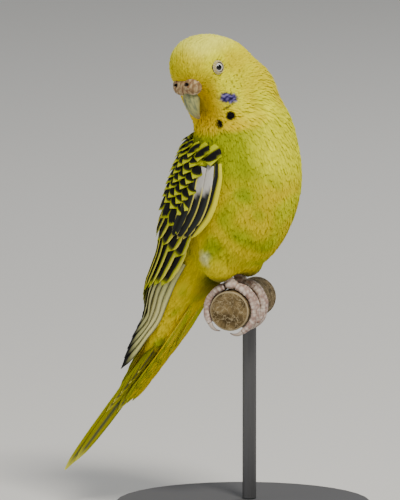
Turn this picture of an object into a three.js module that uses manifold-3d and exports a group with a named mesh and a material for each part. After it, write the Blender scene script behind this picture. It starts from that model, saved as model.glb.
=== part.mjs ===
import * as THREE from "three";
import { mergeVertices } from "three/addons/utils/BufferGeometryUtils.js";
import Module from "manifold-3d";

const wasm = await Module();
wasm.setup();

// A life-size budgerigar that grips a cut length of dowel, on a plain display stand.
// Millimetres, +Z up. The origin is the centre of the stand's underside.
// Everything is worked out in the perch frame: its origin is on the dowel's axis midway between
// the feet, X is across the dowel and Y along it. The whole is then raised onto the stand.

// Driving sizes
const GAP = 0.3; // left between nodes that touch
const SOCKET_GAP = 0.4; // round the bill, whose rings lie otherwise in its socket
const SKIN_GAP = 0.5; // under a wing, so that its facets stay clear of the body's
const PERCH = { radius: 7.3, length: 40, feetFromFront: 9.8, chamfer: 0.5, sides: 30 };
const BASE = { radius: 48, height: 8, edge: 1.5, sides: 36 };
const ROD = { radius: 2.6, sides: 12, behindCentre: 9 };
const TAIL_CLEARANCE = 5; // from the tail's tip down to the base's top
const HEADING = -20; // the body's turn about Z away from square to the dowel, in degrees
const HEAD = { at: [-4, -12, 86.8], yaw: -100, pitch: 15, roll: 9 };
const BLEND = 1.6; // how far neighbouring forms of flesh melt into each other
const FOOT = { spacing: 12.2, toeRadius: 1.3, clawLength: 4.6 };
const EYE = { radius: 2.6, forward: 4.4, up: 3.1, sunk: 1.9, lidRadius: 2.05, lidTube: 0.5 };
const SEED = 11;

const rad = THREE.MathUtils.degToRad;
const lerp = THREE.MathUtils.lerp;
const clamp = THREE.MathUtils.clamp;
const v3 = (x, y, z) => new THREE.Vector3(x, y, z);

let seedState = SEED;
function random() {
  seedState = (seedState * 1664525 + 1013904223) >>> 0;
  return seedState / 4294967296;
}
const vary = (amount) => amount * (2 * random() - 1);

// The two frames that the bird's forms are stated in
// Body: x forwards, y to the bird's left, z up, with the perch frame's origin.
const body = new THREE.Matrix4().makeRotationZ(rad(HEADING));

// Head: x towards the bill, y to the bird's left, z to the crown, from the middle of the skull.
function headFrame() {
  const turn = new THREE.Matrix4()
    .makeRotationZ(rad(HEAD.yaw))
    .multiply(new THREE.Matrix4().makeRotationY(rad(HEAD.pitch)))
    .multiply(new THREE.Matrix4().makeRotationX(rad(HEAD.roll)));
  const place = new THREE.Matrix4().makeTranslation(...HEAD.at);
  return body.clone().multiply(place).multiply(turn);
}
const head = headFrame();
const inBody = (x, y, z) => v3(x, y, z).applyMatrix4(body);
const inHead = (x, y, z) => v3(x, y, z).applyMatrix4(head);

// Flesh: egg-shaped forms that melt into one surface. Each is centre, radii and lean about y.
function form(frame, centre, radii, lean = 0) {
  const matrix = frame
    .clone()
    .multiply(new THREE.Matrix4().makeTranslation(...centre))
    .multiply(new THREE.Matrix4().makeRotationY(rad(lean)));
  return { inverse: matrix.invert().elements, radii };
}

const THIGH = { centre: [-1.6, 9.2, 18.9], radii: [6.2, 6.6, 9.0], lean: -12 };
const TORSO = [
  form(body, [3.9, 0, 47.5], [20.9, 21, 27.7], 7), // breast
  form(body, [0, 0, 36.3], [20.1, 20.3, 24.2], 12), // belly
  form(body, [-10, 0, 36.6], [14.3, 17.6, 34.2], 16.5), // back
  form(body, [-18.5, 0, 14.3], [9.9, 13.4, 25.2], 36.5), // rump
  form(body, [-28.8, 0, -7.5], [4.2, 7.2, 18], 38), // root of the tail
];
const THIGHS = [-1, 1].map((side) => {
  const [x, y, z] = THIGH.centre;
  return form(body, [x, side * y, z], THIGH.radii, THIGH.lean);
});
const NECK = [
  form(body, [4.3, -0.2, 63.2], [17.8, 18, 18.5]),
  form(body, [2.3, 2.0, 77.9], [12.6, 12, 13.3]), // the nape's loose feathers, on the turned side
];
const SKULL = [
  form(head, [-0.5, 0, 1.2], [12.9, 11.4, 13.1]),
  form(head, [4.5, 0, 4.2], [9.4, 10.2, 10.6]), // forehead
  form(head, [-8, 0, -3.9], [11.4, 12, 13.8]), // nape
  form(head, [1.4, 5.6, -7], [7.4, 6.4, 9]), // cheeks
  form(head, [1.4, -5.6, -7], [7.4, 6.4, 9]),
  form(head, [0.6, 0, -15], [7.8, 12, 10.8]), // throat
];
// The folded wings lie on the trunk and, past it, on this sleeve round the root of the tail.
const SLEEVE = form(body, [-38.8, 0, -18.6], [6.3, 6.6, 32.5], 32);

function ellipsoidDistance({ inverse: m, radii: r }, p) {
  const x = m[0] * p.x + m[4] * p.y + m[8] * p.z + m[12];
  const y = m[1] * p.x + m[5] * p.y + m[9] * p.z + m[13];
  const z = m[2] * p.x + m[6] * p.y + m[10] * p.z + m[14];
  const k0 = Math.hypot(x / r[0], y / r[1], z / r[2]);
  const k1 = Math.hypot(x / r[0] ** 2, y / r[1] ** 2, z / r[2] ** 2);
  return k1 < 1e-9 ? -Math.min(...r) : (k0 * (k0 - 1)) / k1;
}

// Roughly the distance from a point to the surface that a list of forms melts into.
const fieldOf = (forms) => (p) => {
  let sum = 0;
  for (const f of forms) sum += Math.exp(-Math.max(-40, ellipsoidDistance(f, p)) / BLEND);
  return -BLEND * Math.log(sum);
};
const flesh = fieldOf([...TORSO, ...THIGHS, ...NECK, ...SKULL]);
const support = fieldOf([...TORSO, ...THIGHS, ...NECK, SLEEVE]);

function gradient(field, p) {
  const h = 0.05;
  const g = v3();
  for (const axisName of ["x", "y", "z"]) {
    const q = p.clone();
    q[axisName] += h;
    const ahead = field(q);
    q[axisName] -= 2 * h;
    g[axisName] = ahead - field(q);
  }
  return g.normalize();
}

// The first point out from a centre along a ray where the field reaches a level.
function cast(field, from, direction, level = 0, reach = 70) {
  const stride = 1.5;
  const at = (t) => from.clone().addScaledVector(direction, t);
  let near = 0;
  let far = stride;
  while (far < reach && field(at(far)) < level) {
    near = far;
    far += stride;
  }
  for (let i = 0; i < 22; i++) {
    const mid = (near + far) / 2;
    if (field(at(mid)) < level) near = mid;
    else far = mid;
  }
  return at(near);
}

// Moves a point onto the surface a given height over the field's own.
function settle(field, point, level) {
  const p = point.clone();
  for (let i = 0; i < 4; i++) p.addScaledVector(gradient(field, p), level - field(p));
  return p;
}

// The bird's long axis, from inside the head down the back to the tail's tip, in the body frame
const AXIS_POINTS = {
  skull: [-1.5, -7, 84],
  nape: [1, -3, 74],
  shoulder: [2.5, -0.5, 63],
  chest: [1, 0, 50],
  middle: [-1.5, 0, 37],
  belly: [-6, 0, 24],
  pelvis: [-15, 0, 11],
  rump: [-25.2, 0, -3.2],
  tailRoot: [-34.4, 0, -16.6],
  tail: [-48.2, 0, -35.3],
  tailMiddle: [-61.7, 0, -51.8],
  tailTip: [-75.5, 0, -68.3],
};
const axis = new THREE.CatmullRomCurve3(
  Object.values(AXIS_POINTS).map((p) => inBody(...p)),
  false,
  "centripetal",
);
axis.arcLengthDivisions = 400;
const AXIS_LENGTH = axis.getLength();
const lateral = inBody(0, 1, 0);

// The axis' own frame at a distance down it: point, tangent, the breast's side, the bird's left.
function station(arc) {
  const along = clamp(arc / AXIS_LENGTH, 0, 1);
  const point = axis.getPointAt(along);
  const tangent = axis.getTangentAt(along);
  const front = v3().crossVectors(tangent, lateral).normalize();
  const left = v3().crossVectors(front, tangent);
  return { point, tangent, front, left };
}

// Where the body is parted, as distances down the axis
const CUT = { headToNeck: 10, neckToTorso: 21.5, torsoToRump: 79, rumpToTail: 112.6 };

// Meshes and solids
function solid(geometry) {
  const bare = new THREE.BufferGeometry();
  bare.setAttribute("position", geometry.getAttribute("position"));
  if (geometry.index) bare.setIndex(geometry.index);
  const merged = mergeVertices(bare, 1e-4);
  const triVerts = new Uint32Array(merged.index.array);
  const vertProperties = new Float32Array(merged.attributes.position.array);
  const made = () => new wasm.Manifold(new wasm.Mesh({ numProp: 3, vertProperties, triVerts }));
  if (made().volume() < 0)
    for (let i = 0; i < triVerts.length; i += 3)
      [triVerts[i + 1], triVerts[i + 2]] = [triVerts[i + 2], triVerts[i + 1]];
  return made();
}

function geometryOf(manifold) {
  const mesh = manifold.getMesh();
  return new THREE.BufferGeometry()
    .setAttribute("position", new THREE.BufferAttribute(new Float32Array(mesh.vertProperties), 3))
    .setIndex(new THREE.BufferAttribute(new Uint32Array(mesh.triVerts), 1));
}

const join = (pieces) => pieces.reduce((sum, piece) => sum.add(piece));

// The largest of the closed bodies that a cut or a join leaves
function largest(manifold) {
  return manifold.decompose().reduce((a, b) => (b.volume() > a.volume() ? b : a));
}

// Gives every vertex of a three.js geometry a new place.
function reshape(geometry, place) {
  const position = geometry.getAttribute("position");
  for (let i = 0; i < position.count; i++)
    position.setXYZ(i, ...place(v3().fromBufferAttribute(position, i)).toArray());
  return geometry;
}

// A closed thin plate: a grid of squares, one copy for each face with the same diagonals, and a
// rim. place(u, v, top) gives a vertex, for u from -1 to 1 across and v from 0 to 1 along.
function plate(across, along, place) {
  const sheet = new THREE.PlaneGeometry(2, 1, across, along);
  const spots = sheet.getAttribute("position");
  const count = spots.count;
  const faces = Array.from(sheet.index.array);
  const positions = [];
  for (const top of [false, true])
    for (let i = 0; i < count; i++)
      positions.push(...place(spots.getX(i), 0.5 - spots.getY(i), top).toArray());
  const index = [];
  const edges = new Map();
  for (let i = 0; i < faces.length; i += 3) {
    const [a, b, c] = faces.slice(i, i + 3);
    index.push(a, c, b, a + count, b + count, c + count);
    for (const [p, q] of [[a, b], [b, c], [c, a]]) edges.set(p * count + q, [p, q]);
  }
  for (const [p, q] of edges.values())
    if (!edges.has(q * count + p)) index.push(q + count, p + count, p, q + count, p, q);
  return new THREE.BufferGeometry()
    .setAttribute("position", new THREE.Float32BufferAttribute(positions, 3))
    .setIndex(index);
}

// A round bar of varying radius along a curve
function bar(curve, radiusAt, sides, steps, side = v3(0, 1, 0)) {
  return reshape(new THREE.CylinderGeometry(1, 1, 1, sides, steps), (p) => {
    const t = p.y + 0.5;
    const tangent = curve.getTangentAt(t);
    const across = side.clone().addScaledVector(tangent, -side.dot(tangent)).normalize();
    const over = v3().crossVectors(tangent, across);
    const radius = radiusAt(t);
    return curve.getPointAt(t).addScaledVector(across, p.x * radius).addScaledVector(over, p.z * radius);
  });
}

// A curve through points, made longer at both ends by the extra
function route(points, extra = 0) {
  const at = points.map((p) => (Array.isArray(p) ? v3(...p) : p.clone()));
  const last = at.length - 1;
  const head = at[0].clone().sub(at[1]).normalize();
  const foot = at[last].clone().sub(at[last - 1]).normalize();
  at[0].addScaledVector(head, extra);
  at[last].addScaledVector(foot, extra);
  return new THREE.CatmullRomCurve3(at, false, "centripetal");
}

function ball(matrix, centre, radii, detail) {
  const geometry = new THREE.IcosahedronGeometry(1, detail);
  geometry.scale(...radii).translate(...centre);
  return solid(geometry.applyMatrix4(matrix));
}

// Keeps what lies down the axis from a place, or up it, half a gap clear of the cut.
function below(manifold, arc) {
  const { point, tangent } = station(arc);
  return manifold.trimByPlane(tangent.toArray(), tangent.dot(point) + GAP / 2);
}
function above(manifold, arc) {
  const { point, tangent } = station(arc);
  return manifold.trimByPlane(tangent.clone().negate().toArray(), GAP / 2 - tangent.dot(point));
}

// The trunk: rings cast out from the long axis onto the flesh, closed at both ends.
function trunk(level, around, along) {
  const first = 3;
  const last = CUT.rumpToTail + 5;
  const step = 1 / along;
  return reshape(new THREE.SphereGeometry(1, around, along), (p) => {
    const t = Math.acos(clamp(p.y, -1, 1)) / Math.PI;
    const ring = clamp((t - step) / (1 - 2 * step), 0, 1);
    const { point, front, left } = station(lerp(first, last, ring));
    if (t < step / 2 || t > 1 - step / 2) return point;
    const angle = Math.atan2(p.z, p.x);
    const out = front.multiplyScalar(Math.cos(angle)).addScaledVector(left, Math.sin(angle));
    return cast(flesh, point, out, level);
  });
}

// The head: rays cast out from the skull, and stopped a little way past the cut at the neck.
function skull(detail) {
  const { point, tangent } = station(CUT.headToNeck);
  const centre = inHead(-1, 0, -3);
  const past = 6;
  const depth = tangent.dot(point) + past - tangent.dot(centre);
  return reshape(new THREE.IcosahedronGeometry(1, detail), (p) => {
    const out = p.normalize();
    const sink = out.dot(tangent);
    const hit = cast(flesh, centre, out);
    const reach = sink > 0.02 ? depth / sink : Infinity;
    return hit.distanceTo(centre) > reach ? centre.clone().addScaledVector(out, reach) : hit;
  });
}

// Eyes: each is set by the skin beside it, and a ring of bare lid stands round it.
function eyeFrame(side) {
  const from = inHead(EYE.forward, 0, EYE.up);
  const out = inHead(EYE.forward, side, EYE.up).sub(from);
  const skin = cast(flesh, from, out);
  const turn = new THREE.Quaternion().setFromUnitVectors(v3(0, 0, 1), gradient(flesh, skin));
  return new THREE.Matrix4().compose(skin, turn, v3(1, 1, 1));
}
const eyeball = (side, extra = 0) =>
  ball(eyeFrame(side), [0, 0, -EYE.sunk], Array(3).fill(EYE.radius + extra), 2);
function lidRing(side) {
  const ring = new THREE.TorusGeometry(EYE.lidRadius, EYE.lidTube, 4, 12);
  ring.translate(0, 0, 0.15);
  return solid(ring.applyMatrix4(eyeFrame(side)));
}

// Bill and cere, in the head frame
const BILL = {
  route: [[7.2, 0, -3.6], [10.5, 0, -4.8], [11.6, 0, -8], [11.4, 0, -11], [10.6, 0, -13.6]],
  rootRadius: 3.5,
  tipRadius: 0.4,
};
const LOWER_BILL = { route: [[3.6, 0, -8.6], [6.6, 0, -10.4], [8.8, 0, -12.0]], rootRadius: 2.8, tipRadius: 1.3 };
function billUpper(extra = 0) {
  const radius = (t) => lerp(BILL.rootRadius, BILL.tipRadius, t ** 2.2) + extra;
  return solid(bar(route(BILL.route, extra), radius, 10, 8).applyMatrix4(head));
}
function billLower(extra = 0) {
  const radius = (t) => lerp(LOWER_BILL.rootRadius, LOWER_BILL.tipRadius, t) + extra;
  return solid(bar(route(LOWER_BILL.route, extra), radius, 8, 3).applyMatrix4(head));
}

// The cere is one swollen band of two lobes, with a nostril in each.
const CERE = {
  lobe: [11.0, 3.0, -1.1],
  radii: [3.6, 3.4, 3.4],
  middle: [10.9, 0, -0.9],
  middleRadii: [3.7, 3.4, 3.1],
  nostril: [13.9, 2.9, 1.1],
};
const bothSides = (make) => join([-1, 1].map(make));
const cereLobes = (extra) =>
  bothSides((side) => {
    const [x, y, z] = CERE.lobe;
    return ball(head, [x, side * y, z], CERE.radii.map((r) => r + extra), 2);
  }).add(ball(head, CERE.middle, CERE.middleRadii.map((r) => r + extra), 2));
const nostrils = () =>
  bothSides((side) => {
    const [x, y, z] = CERE.nostril;
    return ball(head, [x, side * y, z], [1.5, 0.5, 0.75], 0);
  });

// Legs, in the perch frame. Two toes of each foot wrap round the dowel in front and two behind.
const onDowel = (angle, reach, y) => v3(reach * Math.cos(rad(angle)), y, reach * Math.sin(rad(angle)));
const TOES = [
  { name: "1", from: 106, to: 186, shift: -0.9, spread: -1.0 },
  { name: "2", from: 76, to: -38, shift: -1.5, spread: -0.9 },
  { name: "3", from: 76, to: -58, shift: 1.4, spread: 0.8 },
  { name: "4", from: 106, to: 212, shift: 1.5, spread: 0.9 },
];
const TOE_REACH = PERCH.radius + GAP + FOOT.toeRadius;
const footY = (side) => (side * FOOT.spacing) / 2;
const toeY = (side, toe, t) => footY(side) + side * (toe.shift + toe.spread * t);

function toe(side, spec, extra = 0) {
  const steps = 8;
  const points = [];
  for (let i = 0; i <= steps; i++) {
    const t = i / steps;
    points.push(onDowel(lerp(spec.from, spec.to, t), TOE_REACH, toeY(side, spec, t)));
  }
  // The toe swells at each joint and thins towards the claw.
  const radius = (t) => FOOT.toeRadius * (1 - 0.16 * t) * (1 - 0.07 * Math.cos(6 * Math.PI * t)) + extra;
  return solid(bar(route(points), radius, 6, 7));
}

function claw(side, spec) {
  const turn = Math.sign(spec.to - spec.from);
  const sweep = (turn * FOOT.clawLength * 180) / (Math.PI * TOE_REACH);
  const start = spec.to + turn * 2.3;
  const points = [0, 0.35, 0.7, 1].map((t) =>
    onDowel(start + sweep * t, TOE_REACH + 0.35 * Math.sin(Math.PI * t) - 0.6 * t * t, toeY(side, spec, 1)),
  );
  return solid(bar(route(points), (t) => lerp(0.85, 0.18, t ** 1.2), 6, 3));
}

function tarsus(side, extra = 0) {
  const y = footY(side);
  const top = PERCH.radius + GAP;
  const shank = route([[-4.0, y * 1.12, top + 11], [-2.2, y * 1.04, top + 5.5], [0, y, top + 1.9]], extra);
  const pad = [2.6, 2.9, 1.7].map((r) => r + extra);
  return solid(bar(shank, (t) => lerp(1.5, 1.75, t) + extra, 7, 3)).add(
    ball(new THREE.Matrix4(), [0, y, top + 1.7], pad, 1),
  );
}

// A thigh is the flesh inside an egg-shaped cut, so its skin runs on from the belly's.
function thighCut(side, extra = 0) {
  const [x, y, z] = THIGH.centre;
  const lean = new THREE.Matrix4().makeRotationY(rad(THIGH.lean));
  const place = new THREE.Matrix4().makeTranslation(x, side * y, z);
  const radii = THIGH.radii.map((r) => r * 1.12 + extra);
  return ball(body.clone().multiply(place).multiply(lean), [0, 0, 0], radii, 2);
}

// Feathers of the wings. Each is a plate that lies on the support surface from root to tip.
// t runs across the folded wing, from its leading edge at 0 to the middle of the back at 1.
const VANE_THICKNESS = 0.55;
const LEADING_EDGE = [
  [22, 84],
  [27, 75],
  [32, 70],
  [43, 72],
  [49, 76],
  [56, 85],
  [62, 92],
  [76, 95],
  [99, 93],
  [127, 102],
]; // distance down the axis, and angle round it from the middle of the breast
const BACK_EDGE = 175;

function wingAngle(arc, t) {
  const last = LEADING_EDGE.length - 1;
  let i = 1;
  while (i < last && LEADING_EDGE[i][0] < arc) i++;
  const [arc0, angle0] = LEADING_EDGE[i - 1];
  const [arc1, angle1] = LEADING_EDGE[i];
  const edge = lerp(angle0, angle1, clamp((arc - arc0) / (arc1 - arc0), 0, 1));
  return lerp(edge, BACK_EDGE, t);
}

function onWing(arc, t, side, lift) {
  const { point, front, left } = station(arc);
  const turn = rad(wingAngle(arc, t));
  const out = front.multiplyScalar(Math.cos(turn)).addScaledVector(left, side * Math.sin(turn));
  return cast(support, point, out, lift);
}

// Outlines: how far along the vane, and the share of the full width there
const OUTLINE = {
  round: [[0, 0.7], [0.62, 1.0], [0.88, 0.76], [1, 0.24]],
  long: [[0, 0.66], [0.72, 1.0], [0.92, 0.66], [1, 0.18]],
  blade: [[0, 0.76], [0.5, 1.0], [0.85, 0.66], [1, 0.12]],
  steady: [[0, 0.8], [0.45, 1.0], [0.86, 0.74], [1, 0.22]],
};

function wingVane({ root, tip, side, width, lift, tilt = 0.5, shape = "round", across = 1 }) {
  const stops = OUTLINE[shape];
  const last = stops.length - 1;
  const spine = stops.map(([v]) =>
    onWing(lerp(root[0], tip[0], v), lerp(root[1], tip[1], v), side, lerp(lift[0], lift[1], v)),
  );
  return solid(
    plate(across, last, (u, v, top) => {
      const j = Math.round(v * last);
      const [at, share] = stops[j];
      const along = spine[Math.min(j + 1, last)].clone().sub(spine[Math.max(j - 1, 0)]);
      const cross = v3().crossVectors(gradient(support, spine[j]), along).normalize();
      const flat = spine[j].clone().addScaledVector(cross, (-side * u * share * width) / 2);
      const height = lerp(lift[0], lift[1], at) + tilt * u * share;
      return settle(support, flat, height + (top ? VANE_THICKNESS : 0));
    }),
  );
}

// A row of vanes across the wing. Each range runs from the leading edge's vane to the back's.
function wingRow({ count, rootArc, tipArc, rootT, tipT, width, ...rest }) {
  const made = [];
  for (let i = 0; i < count; i++) {
    const t = i / (count - 1);
    const root = [lerp(...rootArc, t), lerp(...rootT, t)];
    const tip = [lerp(...tipArc, t) + vary(0.7), lerp(...tipT, t)];
    made.push(wingVane({ root, tip, width: lerp(...width, t) + vary(0.3), ...rest }));
  }
  return made;
}

// The wing's own flesh under the feathers: a lens with thin edges, between two places down the
// body. Its end at the wrist is blunt, where the arm meets the hand.
function wingCore(side, arcs, range, thick, bluntEnd, across, along) {
  return solid(
    plate(across, along, (u, v, top) => {
      const t = lerp(...range, (u + 1) / 2);
      const sides = 1 - u ** 4;
      const ends = (v < 0.5) === (bluntEnd === "root") ? 1 : 1 - (2 * v - 1) ** 4;
      const height = 0.6 + (thick - 0.6) * sides * ends;
      return onWing(lerp(...arcs, v), t, side, SKIN_GAP + (top ? height : 0));
    }),
  );
}

const WRIST = 66; // where the hand's flesh meets the arm's, down the axis
const HAND_LIFT = 0.7;

function arm(side) {
  const pieces = [wingCore(side, [23.5, WRIST - GAP / 2], [0.05, 0.95], 2.0, "tip", 6, 5)];
  const row = (spec) => pieces.push(...wingRow({ side, ...spec }));
  // Lesser coverts, in rows that step sideways by half a feather
  const lesserRows = 2;
  for (let i = 0; i < lesserRows; i++) {
    const arc = 22.5 + 8.6 * i;
    const shift = i % 2 ? 0.1 : 0;
    row({
      count: 3,
      rootArc: [arc + 3, arc],
      tipArc: [arc + 15, arc + 12],
      rootT: [0.17 + shift, 0.79 + shift],
      tipT: [0.17 + shift, 0.79 + shift],
      width: [12.4, 12.4],
      lift: [1.3, 3.4],
    });
  }
  // Median coverts
  row({
    count: 3,
    rootArc: [42, 40],
    tipArc: [57, 56],
    rootT: [0.2, 0.84],
    tipT: [0.2, 0.84],
    width: [12.5, 12.5],
    lift: [1.3, 4.0],
  });
  // Greater coverts, with the scapulars at the back
  row({
    count: 4,
    rootArc: [50, 48],
    tipArc: [69, 72],
    rootT: [0.15, 0.87],
    tipT: [0.14, 0.87],
    width: [10, 10],
    lift: [1.3, 3.9],
    shape: "long",
  });
  // Secondaries
  row({
    count: 4,
    rootArc: [59, 58],
    tipArc: [84, 103],
    rootT: [0.16, 0.83],
    tipT: [0.2, 0.83],
    width: [10.4, 9.6],
    lift: [2.45, 2.65],
    tilt: 0.4,
    shape: "long",
  });
  // The long dark coverts over the hand, along the leading edge
  row({
    count: 2,
    rootArc: [31, 34],
    tipArc: [59, 54],
    rootT: [0.04, 0.14],
    tipT: [0.06, 0.15],
    width: [4.6, 4.8],
    lift: [1.3, 2.3],
    shape: "long",
  });
  return pieces;
}

// The hand carries the primaries, which run out under the arm's feathers to the wing's tip.
function hand(side) {
  const pieces = [wingCore(side, [WRIST + GAP / 2, 80], [0.02, 0.5], 0.65, "root", 3, 2)];
  pieces.push(
    ...wingRow({
      side,
      count: 5,
      rootArc: [73, 75],
      tipArc: [126.5, 107],
      rootT: [0.08, 0.43],
      tipT: [0.3, 0.8],
      width: [6.6, 7.4],
      lift: [HAND_LIFT, HAND_LIFT + 0.1],
      tilt: 0.3,
      shape: "blade",
    }),
  );
  return pieces;
}

// Tail: a fleshy root and twelve feathers in pairs. The middle pair is the longest, on top.
const TAIL = {
  tips: [[177.6, 172.5], [147, 145.8], [142, 141], [137, 136.2], [131, 130.4], [125, 124.6]],
  shifts: [1.5, 2.2, 2.8, 3.2, 3.5, 3.7],
  widths: [6.2, 6.4, 6.4, 6.2, 5.8, 5.2],
  topHeight: 1.0,
  step: 0.42,
  droop: 0.032,
  roll: 0.3, // how steeply the tail's far end is turned about its own length
};

// A place by the tail: across to the bird's left, and height towards the back.
function byTail(arc, across, height) {
  const { point, front, left } = station(arc);
  const roll = TAIL.roll * clamp((arc - CUT.rumpToTail) / 30, 0, 1);
  const down = TAIL.droop * across * across + roll * across - height;
  return point.addScaledVector(left, across).addScaledVector(front, down);
}

// A straight feather by the tail, from root to tip: [arc, across, height] each
function tailVane(root, tip, width, shape) {
  const stops = OUTLINE[shape];
  const last = stops.length - 1;
  return solid(
    plate(2, last, (u, v, top) => {
      const [at, share] = stops[Math.round(v * last)];
      const across = lerp(root[1], tip[1], at) + (u * share * width) / 2;
      const height = lerp(root[2], tip[2], at) + (top ? VANE_THICKNESS : 0);
      return byTail(lerp(root[0], tip[0], at), across, height);
    }),
  );
}

function tail() {
  const start = CUT.rumpToTail + GAP / 2;
  const root = solid(
    plate(6, 3, (u, v, top) => {
      const half = 4.6 * (1 - 0.45 * v);
      const thick = 1.9 * (1 - 0.6 * v) * Math.sqrt(Math.max(0.15, 1 - u * u));
      return byTail(start + 11 * v, u * half, top ? thick : -thick);
    }),
  );
  const pieces = [root];
  TAIL.tips.forEach((tips, pair) => {
    const shape = pair === 0 ? "steady" : "blade";
    [-1, 1].forEach((side, i) => {
      const height = TAIL.topHeight - TAIL.step * (pair + i / 2);
      const spread = side * TAIL.shifts[pair];
      const end = pair === 0 ? spread * 0.5 : spread;
      const from = [start + 1, spread * 0.6, height];
      pieces.push(tailVane(from, [tips[i], end, height], TAIL.widths[pair], shape));
    });
  });
  return pieces;
}

// The rump's long coverts, which taper the body into the tail below and above
const COVERTS = [
  { count: 3, arcs: [88, 119], height: [-4.6, -3.9], spread: [3.0, 2.8], width: 5.6 },
  { count: 2, arcs: [93, 129], height: [-4.2, -3.0], spread: [2.2, 2.0], width: 5.8 },
  { count: 3, arcs: [99, 139], height: [-3.8, -2.5], spread: [2.2, 1.6], width: 5.0 },
  { count: 3, arcs: [92, 131], height: [4.6, 3.4], spread: [2.6, 2.2], width: 5.0 },
  { count: 2, arcs: [96, 141], height: [3.2, 1.9], spread: [1.7, 1.5], width: 5.0 },
];
function tailCoverts() {
  return COVERTS.flatMap(({ count, arcs, height, spread, width }) =>
    Array.from({ length: count }, (_, i) => {
      const place = (2 * i) / (count - 1) - 1;
      const nested = 0.18 * (i % 2);
      const root = [arcs[0], place * spread[0], height[0] + nested];
      const tip = [arcs[1] - 2 * place * place + vary(0.6), place * spread[1], height[1] + nested];
      return tailVane(root, tip, width, "long");
    }),
  );
}

// Perch and stand
function turned(radius, height, edge, sides) {
  const profile = [[0, 0], [radius - edge, 0], [radius, edge], [radius, height - edge]];
  profile.push([radius - edge, height], [0, height]);
  const points = profile.map(([x, y]) => new THREE.Vector2(x, y));
  return new THREE.LatheGeometry(points, sides).rotateX(Math.PI / 2);
}
function perch(extra = 0) {
  const rod = turned(PERCH.radius + extra, PERCH.length, PERCH.chamfer, PERCH.sides);
  return solid(rod.rotateX(Math.PI / 2).translate(0, PERCH.length - PERCH.feetFromFront, 0));
}

// The stand's heights follow from the tail's tip, the lowest point of the bird.
const baseTop = AXIS_POINTS.tailTip[2] - TAIL_CLEARANCE;
const floor = baseTop - BASE.height;
const perchMiddle = PERCH.length / 2 - PERCH.feetFromFront;

function standRod() {
  const foot = baseTop + GAP;
  const rod = new THREE.CylinderGeometry(ROD.radius, ROD.radius, -foot, ROD.sides);
  rod.rotateX(Math.PI / 2).translate(0, perchMiddle + ROD.behindCentre, foot / 2);
  return solid(rod).subtract(perch(GAP));
}
function standBase() {
  const disc = turned(BASE.radius, BASE.height, BASE.edge, BASE.sides);
  return solid(disc.translate(0, perchMiddle, floor));
}

// Colours and roughness
const FINISH = {
  yellow: [0xf2dc1e, 0.8],
  green: [0xa8bd1c, 0.8],
  barred: [0x55611f, 0.75],
  flight: [0xc9c58a, 0.7],
  tail: [0xd3c13a, 0.7],
  cere: [0xb98d6c, 0.6],
  bill: [0x8e9263, 0.45],
  foot: [0xc0a8a0, 0.6],
  claw: [0x9f9181, 0.5],
  eye: [0xe8e4dc, 0.15],
  wood: [0x8b6a45, 0.8],
  stand: [0x3a3a3c, 0.5],
};

const group = new THREE.Group();
function node(name, manifold, finish) {
  const [color, roughness] = FINISH[finish];
  const material = new THREE.MeshStandardMaterial({ color, roughness, metalness: 0 });
  const mesh = new THREE.Mesh(geometryOf(largest(manifold)), material);
  mesh.name = name;
  group.add(mesh);
}

const SIDES = [["right", -1], ["left", 1]];
const trunkSolid = solid(trunk(0, 22, 30));
const fleshGuard = solid(trunk(SKIN_GAP * 1.1, 18, 26));

// Head, neck and what is set in the face
const face = join([
  cereLobes(GAP),
  billUpper(SOCKET_GAP),
  billLower(SOCKET_GAP),
  eyeball(-1, GAP),
  eyeball(1, GAP),
]);
const skin = above(solid(skull(6)), CUT.headToNeck);
node("head", join([skin, lidRing(-1), lidRing(1)]).subtract(face), "yellow");
for (const [label, side] of SIDES) node("eye_" + label, eyeball(side), "eye");
node("cere", cereLobes(0).subtract(nostrils()), "cere");
node("bill_upper", billUpper().subtract(cereLobes(GAP)), "bill");
node("bill_lower", billLower().subtract(billUpper(GAP)).subtract(cereLobes(GAP)), "bill");
node("neck", above(below(trunkSolid, CUT.headToNeck), CUT.neckToTorso), "yellow");

// Trunk and legs
const legSockets = join([
  ...SIDES.map(([, side]) => tarsus(side, GAP)),
  ...SIDES.flatMap(([, side]) => TOES.map((spec) => toe(side, spec, GAP))),
  perch(GAP),
]);
const thighSockets = bothSides((side) => thighCut(side, GAP));
const torso = above(below(trunkSolid, CUT.neckToTorso), CUT.torsoToRump);
node("torso", torso.subtract(thighSockets).subtract(legSockets), "green");
const rump = above(below(trunkSolid, CUT.torsoToRump), CUT.rumpToTail);
node("rump", join([rump, ...tailCoverts()]).subtract(legSockets), "green");
node("tail", join(tail()), "tail");
for (const [label, side] of SIDES) {
  const thigh = below(above(trunkSolid, CUT.torsoToRump), CUT.neckToTorso).intersect(thighCut(side));
  node("thigh_" + label, thigh.subtract(legSockets), "green");
  node("tarsus_" + label, tarsus(side).subtract(perch(GAP)), "foot");
  for (const spec of TOES) {
    node(`toe_${label}_${spec.name}`, toe(side, spec).subtract(tarsus(side, GAP)), "foot");
    node(`claw_${label}_${spec.name}`, claw(side, spec), "claw");
  }
}

// Wings, each kept on its own side of the back's middle
for (const [label, side] of SIDES) {
  const inwards = lateral.clone().multiplyScalar(side).toArray();
  node("wing_" + label, join(arm(side)).trimByPlane(inwards, GAP / 2), "barred");
  const primaries = join(hand(side)).trimByPlane(inwards, GAP / 2);
  node(`wing_${label}_primaries`, primaries.subtract(fleshGuard), "flight");
}

node("perch", perch(), "wood");
node("stand_rod", standRod(), "stand");
node("stand_base", standBase(), "stand");

group.position.set(0, -perchMiddle, -floor);

export default group;
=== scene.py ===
"""A life-size budgerigar on a cut length of dowel with a plain stand: looks, camera and light."""

import math

import bpy
import numpy as np
from mathutils import Matrix, Vector


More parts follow.
